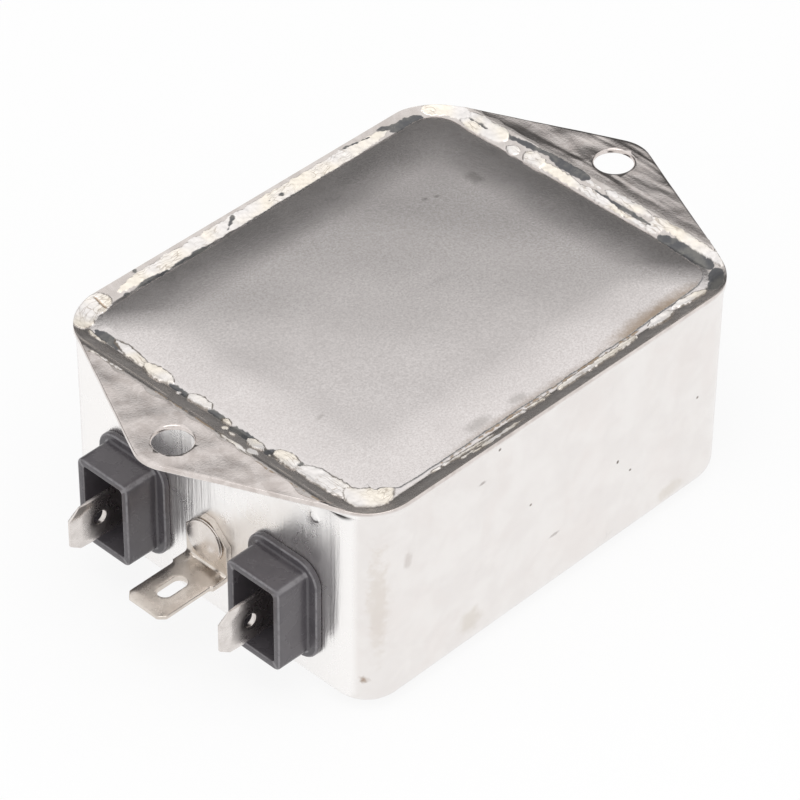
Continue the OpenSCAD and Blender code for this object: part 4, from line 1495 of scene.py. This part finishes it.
@dataclass
class Finishes:
    """Every material of the part, made from the shared node groups."""

    effects: Effects

    def drawn_sheet(self) -> bpy.types.Material:
        """Plated can sheet: smooth, draw lines, faint mottling, marks, painted light and shade."""
        coat = Coat("plated_sheet", (0.88, 0.85, 0.83), (0.85, 0.815, 0.795), 1.0, 0.19, 0.06,
                    5.0, 0.25, 0.012)
        s, material, parts = coat.start(self.effects)
        mm = parts["mm"]
        high = s.node("ShaderNodeSeparateXYZ", {0: mm}).outputs["Z"]
        pull = s.group(self.effects.lines, {"Vector": mm, "Squeeze": (1.3, 1.3, 0.06)}, "Height")
        fine = s.group(self.effects.lines, {"Vector": mm, "Squeeze": (6.0, 6.0, 0.2)}, "Height")
        ear = s.step(high, 30.2, 30.6)
        along = s.node("ShaderNodeSeparateXYZ", {0: mm})
        far = s.step(along.outputs["X"], -5.0, 5.0)
        wrinkle = s.noise(s.vector("MULTIPLY", mm, (0.3, 0.075, 1.0)), 1.0, 1.0, 0.4, 1.2)
        wrinkle = s.math("MULTIPLY", wrinkle, s.math("ADD", 2.0, s.math("MULTIPLY", far, 9.0)))
        scratch = s.group(self.effects.scratch, {"Vector": mm, "Size": 5.0, "Amount": 0.1},
                          "Mask")
        shape = s.math("ADD", s.math("MULTIPLY", pull, 5.0), s.math("MULTIPLY", fine, 0.5))
        shape = s.math("MULTIPLY", shape, s.math("SUBTRACT", 1.0, ear))
        shape = s.math("ADD", shape, s.math("MULTIPLY", wrinkle, ear))
        shape = s.math("SUBTRACT", shape, s.math("MULTIPLY", scratch, 0.8))
        end = s.math("MULTIPLY", s.step(s.math("ABSOLUTE", along.outputs["X"]), 31.0, 31.6),
                     s.math("SUBTRACT", 1.0, ear))
        stipple = s.math("MULTIPLY", s.noise(mm, 4.0, 2.0, 0.7), s.math("MULTIPLY", end, 0.6))
        shape = s.math("ADD", shape, stipple)
        pip = s.node("ShaderNodeVectorMath", {
            0: s.vector("MULTIPLY", s.vector("SUBTRACT", mm, PIP), (0.3, 1, 1))
        }, operation="LENGTH").outputs["Value"]
        shape = s.math("ADD", shape, s.step(pip, 0.85, 0.5, 0.0, 16.0))
        parts["height"] = s.math("ADD", parts["height"], shape)
        rosy = s.group(self.effects.blotch, {"Vector": mm, "Size": 9.0, "Level": 0.55,
                                             "Softness": 0.12}, "Mask")
        colour = s.mix(s.math("MULTIPLY", rosy, 0.25), parts["colour"], (0.82, 0.75, 0.72))
        colour = s.mix(s.math("MULTIPLY", scratch, 0.35), colour, (0.5, 0.47, 0.45))
        # Painted shade: the flange and ears get a mottled colour darker than the walls; the far ear
        # is painted lighter than the near one.
        cloud = s.noise(mm, 0.45, 5.0, 0.65, 0.5)
        cloud = s.math("ADD", s.step(cloud, 0.35, 0.65), s.math("MULTIPLY", far, 0.3), clamp=True)
        mottled_ear_shade = s.mix(cloud, (0.6, 0.54, 0.51), (0.76, 0.7, 0.67))
        # Painted light: the end walls get a near-white colour, lighter than the side walls of the
        # same sheet.
        colour = s.mix(end, colour, (0.985, 0.965, 0.95))
        colour = s.mix(ear, colour, mottled_ear_shade)
        parts["colour"] = lay_spots(s, self.effects, mm, colour, CAN_STAINS_AND_SHADOW)
        shift = s.math("ADD", s.math("MULTIPLY", end, 0.1), s.math("MULTIPLY", ear, -0.08))
        parts["roughness"] = s.math("ADD", parts["roughness"], shift)
        finish(s, parts)
        return material

    def satin_panel(self) -> bpy.types.Material:
        """Satin plated cover: even fine tooth, a few smudges and flux along the live side."""
        coat = Coat("satin_panel", (0.88, 0.835, 0.82), (0.85, 0.805, 0.79), 1.0, 0.24, 0.03,
                    7.0, 0.22, 0.006)
        s, material, parts = coat.start(self.effects)
        mm = parts["mm"]
        speck = s.step(s.noise(mm, 3.6, 3.0, 0.8), 0.3, 0.7)
        colour = s.mix(speck, (0.7, 0.655, 0.64), parts["colour"])
        scratch = s.group(self.effects.scratch, {"Vector": mm, "Size": 8.0, "Amount": 0.04},
                          "Mask")
        colour = s.mix(s.math("MULTIPLY", scratch, 0.3), colour, (0.45, 0.43, 0.42))
        parts["colour"] = lay_spots(s, self.effects, mm, colour, COVER_STAINS)
        finish(s, parts)
        return material

    def solder(self) -> bpy.types.Material:
        """Solder and wiped tin, with frosted, dark and flux-stained patches by attribute."""
        coat = Coat("solder_and_tin", (0.72, 0.67, 0.64), (0.62, 0.57, 0.54), 1.0, 0.24, 0.1,
                    2.2, 0.3, 0.012)
        s, material, parts = coat.start(self.effects)
        mm = parts["mm"]

        def mark(kind: Mark) -> bpy.types.NodeSocket:
            return s.node("ShaderNodeAttribute", attribute_type="GEOMETRY",
                          attribute_name=kind.value).outputs["Fac"]

        frost, dark, flux = mark(Mark.FROSTED), mark(Mark.DARK), mark(Mark.FLUX)
        track = s.node("ShaderNodeUVMap", uv_map="Flat").outputs["UV"]
        warp = s.node("ShaderNodeTexNoise", {"Vector": mm, "Scale": 0.7, "Detail": 2.0})
        bent = s.vector("ADD", track, s.vector("MULTIPLY", warp.outputs["Color"], (2.0, 1.0, 0.0)))
        slanted = s.node("ShaderNodeMapping", {0: bent, 2: (0.0, 0.0, -0.95),
                                               3: (0.35, 2.2, 1.0)}).outputs[0]
        cells = s.node("ShaderNodeTexVoronoi", {"Vector": slanted, "Scale": 1.0},
                       feature="DISTANCE_TO_EDGE").outputs["Distance"]
        crack = s.math("MULTIPLY", s.step(cells, 0.07, 0.0),
                       s.step(s.noise(mm, 0.28, 2.0), 0.45, 0.62))
        cream = s.mix(s.step(s.noise(mm, 0.16, 2.0, 0.5), 0.4, 0.6), (0.93, 0.86, 0.76),
                      (0.87, 0.835, 0.815))
        offset = s.node("ShaderNodeSeparateXYZ", {0: track}).outputs["Y"]
        colour = s.mix(s.step(offset, -1.6, -1.9), parts["colour"], (0.81, 0.765, 0.75))
        colour = s.mix(frost, colour, cream)
        colour = s.mix(s.math("MULTIPLY", s.math("MULTIPLY", frost, crack), 0.6), colour,
                       (0.36, 0.29, 0.22))
        cloud = s.step(s.noise(mm, 0.5, 4.0, 0.6), 0.4, 0.66)
        black = s.mix(cloud, (0.1, 0.101, 0.107), (0.185, 0.18, 0.17))
        colour = s.mix(dark, colour, black)
        colour = s.mix(s.math("MULTIPLY", flux, 0.85), colour, (0.3, 0.21, 0.13))
        broken = s.step(s.noise(mm, 0.9, 3.0, 0.6), 0.36, 0.52)
        rim = s.math("MULTIPLY", mark(Mark.OUTLINE), broken)
        colour = s.mix(s.math("MULTIPLY", rim, 0.85), colour, (0.17, 0.14, 0.11))
        parts["colour"] = colour
        shader = parts["shader"]
        matt = s.math("MAXIMUM", s.math("MAXIMUM", frost, flux), s.math("MAXIMUM", dark, rim))
        metal = s.math("SUBTRACT", 1.0, s.math("MULTIPLY", matt, 0.6))
        s.tree.links.new(metal, shader.inputs["Metallic"])
        parts["roughness"] = s.math("ADD", parts["roughness"], s.math("MULTIPLY", frost, 0.22))
        parts["height"] = s.math("SUBTRACT", parts["height"], s.math("MULTIPLY", crack, frost))
        finish(s, parts)
        return material

    def moulding(self) -> bpy.types.Material:
        """Black moulded plastic: faint satin tooth, scuffs, painted highlights on edges."""
        coat = Coat("black_moulding", (0.08, 0.073, 0.081), (0.098, 0.09, 0.098), 0.0, 0.26,
                    0.08, 3.0, 0.22, 0.006)
        s, material, parts = coat.start(self.effects)
        scuff = s.group(self.effects.scratch, {"Vector": parts["mm"], "Size": 2.4,
                                               "Amount": 0.12}, "Mask")
        colour = s.mix(s.math("MULTIPLY", scuff, 0.2), parts["colour"], (0.12, 0.12, 0.12))
        edge = s.node("ShaderNodeAttribute", attribute_type="GEOMETRY",
                      attribute_name="edge").outputs["Fac"]
        # Painted highlight: the rims and upright corners marked by the edge attribute are lightened
        # in broken patches.
        edge_highlight = s.math("MULTIPLY", edge, s.step(s.noise(parts["mm"], 1.2, 3.0), 0.3, 0.6, 0.3, 0.8))
        parts["colour"] = s.mix(edge_highlight, colour, (0.24, 0.23, 0.24))
        finish(s, parts)
        return material

    def tinned(self, name: str, colour: Triple, second: Triple) -> bpy.types.Material:
        """Tinned stamping with fine specks and light rubbing.

        Args:
            name: Name of the material.
            colour: Its main colour.
            second: Triple of its patches.

        Returns:
            The material.
        """
        coat = Coat(name, colour, second, 1.0, 0.28, 0.08, 2.0, 0.16, 0.006)
        s, material, parts = coat.start(self.effects)
        mm = parts["mm"]
        speck = s.step(s.noise(mm, 3.0, 3.0, 0.7), 0.58, 0.72)
        tone = s.mix(s.math("MULTIPLY", speck, 0.4), parts["colour"], (0.45, 0.41, 0.38))
        scratch = s.group(self.effects.scratch, {"Vector": mm, "Size": 2.2, "Amount": 0.08},
                          "Mask")
        parts["colour"] = s.mix(s.math("MULTIPLY", scratch, 0.25), tone, (0.4, 0.37, 0.33))
        finish(s, parts)
        return material

    def inner(self) -> dict[str, bpy.types.Material]:
        """Finishes of the parts inside the can, by slot."""
        coats = {
            "ferrite": Coat("ferrite_ring", (0.06, 0.065, 0.062), (0.09, 0.092, 0.088), 0.0,
                            0.6, 0.1, 2.0, 0.3, 0.05),
            "copper": Coat("enamelled_copper", (0.55, 0.22, 0.09), (0.42, 0.16, 0.07), 0.7,
                           0.28, 0.1, 1.5, 0.2, 0.01),
            "box_capacitor": Coat("yellow_box", (0.7, 0.5, 0.1), (0.62, 0.44, 0.09), 0.0,
                                  0.45, 0.1, 3.0, 0.3, 0.02),
            "disc_capacitor": Coat("blue_disc", (0.05, 0.14, 0.36), (0.04, 0.11, 0.3), 0.0,
                                   0.3, 0.1, 2.0, 0.5, 0.05),
            "resistor": Coat("resistor_body", (0.55, 0.4, 0.24), (0.5, 0.35, 0.2), 0.0, 0.5,
                             0.1, 1.0, 0.2, 0.02),
            "card": Coat("insulating_card", (0.75, 0.7, 0.56), (0.68, 0.63, 0.5), 0.0, 0.8,
                         0.1, 4.0, 0.2, 0.05),
        }
        return {slot: coat.plain(self.effects) for slot, coat in coats.items()}


# ------------------------------------------------------------------ the studio


@dataclass
class Studio:
    """Pale floor, soft light and the camera."""

    floor_size: float = 3.0
    far_side: Triple = (0.69, 0.72, 0.0)
    wall_top: tuple[float, float] = (0.515, 0.7)
    wall_tone: float = 0.09

    def light_tent(self) -> None:
        """World: plain white for the camera, a soft tent with a dark far side for the rest.

        The tent's tone depends on the ray's direction alone: white overhead and behind the
        camera, and a dark wall on the far side that fades out with height and to its sides.
        """
        world = bpy.data.worlds.new("tent")
        bpy.context.scene.world = world
        world.use_nodes = True
        world.node_tree.nodes.clear()
        s = Sheet(world.node_tree)
        way = s.node("ShaderNodeTexCoord").outputs["Generated"]
        far = s.node("ShaderNodeVectorMath", {0: way, 1: self.far_side},
                     operation="DOT_PRODUCT").outputs["Value"]
        height = s.node("ShaderNodeSeparateXYZ", {0: way}).outputs["Z"]
        wall = s.math("MULTIPLY", s.step(height, self.wall_top[1], self.wall_top[0]),
                      s.step(far, 0.05, 0.55))
        wall = s.math("MULTIPLY", wall, s.step(height, 0.05, 0.42, 0.72, 1.0))
        tone = s.math("SUBTRACT", 1.0, s.math("MULTIPLY", wall, 1.0 - self.wall_tone))
        seen = s.node("ShaderNodeLightPath").outputs["Is Camera Ray"]
        tone = s.math("ADD", s.math("MULTIPLY", tone, s.math("SUBTRACT", 1.0, seen)), seen)
        back = s.node("ShaderNodeBackground", {"Color": (1.0, 1.0, 1.0, 1.0),
                                               "Strength": tone})
        out = s.node("ShaderNodeOutputWorld")
        s.tree.links.new(back.outputs[0], out.inputs[0])

    def floor(self) -> None:
        """White floor that keeps a faint shadow of the object."""
        half = self.floor_size / 2
        mesh = bpy.data.meshes.new("floor")
        corners = [(-half, -half, 0), (half, -half, 0), (half, half, 0), (-half, half, 0)]
        mesh.from_pydata(corners, [], [(0, 1, 2, 3)])
        made = bpy.data.objects.new("floor", mesh)
        made.location.z = -0.0003
        bpy.context.scene.collection.objects.link(made)
        material = bpy.data.materials.new("floor")
        material.use_nodes = True
        material.node_tree.nodes.clear()
        s = Sheet(material.node_tree)
        matte = s.node("ShaderNodeBsdfDiffuse", {"Color": (0.9, 0.9, 0.9, 1.0)})
        glow = s.node("ShaderNodeEmission", {"Color": (1.0, 1.0, 1.0, 1.0), "Strength": 1.0})
        rays = s.node("ShaderNodeLightPath")
        bright = s.math("MAXIMUM", rays.outputs["Is Camera Ray"], rays.outputs["Is Glossy Ray"])
        bright = s.math("MAXIMUM", bright, rays.outputs["Is Transmission Ray"])
        joined = s.node("ShaderNodeMixShader", {0: s.math("MULTIPLY", bright, 0.85),
                                                1: matte.outputs[0], 2: glow.outputs[0]})
        out = s.node("ShaderNodeOutputMaterial")
        s.tree.links.new(joined.outputs[0], out.inputs[0])
        mesh.materials.append(material)

    def lamp(self, name: str, place: Triple, size: float, power: float) -> None:
        """Adds one soft square lamp that faces the object.

        Args:
            name: Name of the lamp.
            place: Where it hangs, in metres.
            size: Length of its side in metres.
            power: Its power in watts.
        """
        data = bpy.data.lights.new(name, "AREA")
        data.shape, data.size, data.energy = "SQUARE", size, power
        made = bpy.data.objects.new(name, data)
        made.location = place
        made.rotation_mode = "QUATERNION"
        made.rotation_quaternion = (-Vector(place)).to_track_quat("-Z", "Y")
        bpy.context.scene.collection.objects.link(made)

    def camera(self) -> None:
        """Long lens from above the line end's live corner, rolled by less than a degree."""
        data = bpy.data.cameras.new("camera")
        data.lens, data.sensor_width = 184.531, 36.0
        made = bpy.data.objects.new("camera", data)
        place = Vector((-0.275268, -0.264128, 0.334287))
        aim = Vector((0.005109, 0.005151, 0.008667))
        made.location = place
        made.rotation_mode = "QUATERNION"
        roll = Quaternion((0.0, 0.0, 1.0), math.radians(0.6618))
        made.rotation_quaternion = (aim - place).to_track_quat("-Z", "Y") @ roll
        bpy.context.scene.collection.objects.link(made)
        bpy.context.scene.camera = made

    def build(self) -> None:
        """Sets up the whole studio."""
        self.light_tent()
        self.floor()
        self.lamp("over", (-0.15, -0.2, 0.9), 0.7, 2.0)
        self.camera()
        scene = bpy.context.scene
        scene.view_settings.view_transform = "Standard"


def dress_inner_nodes(given: dict, materials: dict[str, bpy.types.Material]) -> None:
    """Gives every CAD node that stays the finish of its slot.

    Args:
        given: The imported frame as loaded.
        materials: Finishes by slot.
    """
    slots = {
        "choke_core": "ferrite", "choke_divider": "card", "winding_live": "copper",
        "winding_neutral": "copper", "x_capacitor_line": "box_capacitor",
        "x_capacitor_load": "box_capacitor", "y_capacitor_live": "disc_capacitor",
        "y_capacitor_neutral": "disc_capacitor", "bleed_resistor": "resistor",
        "earth_lead": "copper", "card_bottom": "card", "card_top": "card",
    }
    for name, slot in slots.items():
        node = given["nodes"][name]
        node.data.materials.clear()
        node.data.materials.append(materials[slot])
        LOG.info("%s wears %s", name, slot)


def main() -> None:
    """Builds every piece in order, then the studio."""
    logging.basicConfig(level=logging.INFO, format="%(name)s: %(message)s")
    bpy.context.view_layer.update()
    finishes = Finishes(Effects())
    Can().build(finishes.drawn_sheet())
    Cover().build(finishes.satin_panel())
    SolderSeam().build(finishes.solder())
    plastic = finishes.moulding()
    tin = finishes.tinned("tinned_blade", (0.8, 0.755, 0.725), (0.7, 0.655, 0.625))
    warm = finishes.tinned("tinned_strip", (0.76, 0.7, 0.64), (0.68, 0.62, 0.56))
    for end, place in ((-1, "line"), (1, "load")):
        for side, wire in ((-1, "live"), (1, "neutral")):
            Shroud(f"shroud_{place}_{wire}", side, end).build(plastic)
            Blade(f"tab_{place}_{wire}", side, end).build(tin)
    EarthTab().build(warm)
    Rivet().build(finishes.tinned("plated_rivet", (0.8, 0.75, 0.71), (0.74, 0.69, 0.65)))
    dress_inner_nodes(frame, finishes.inner())
    Studio().build()


if __name__ == "__main__":
    main()
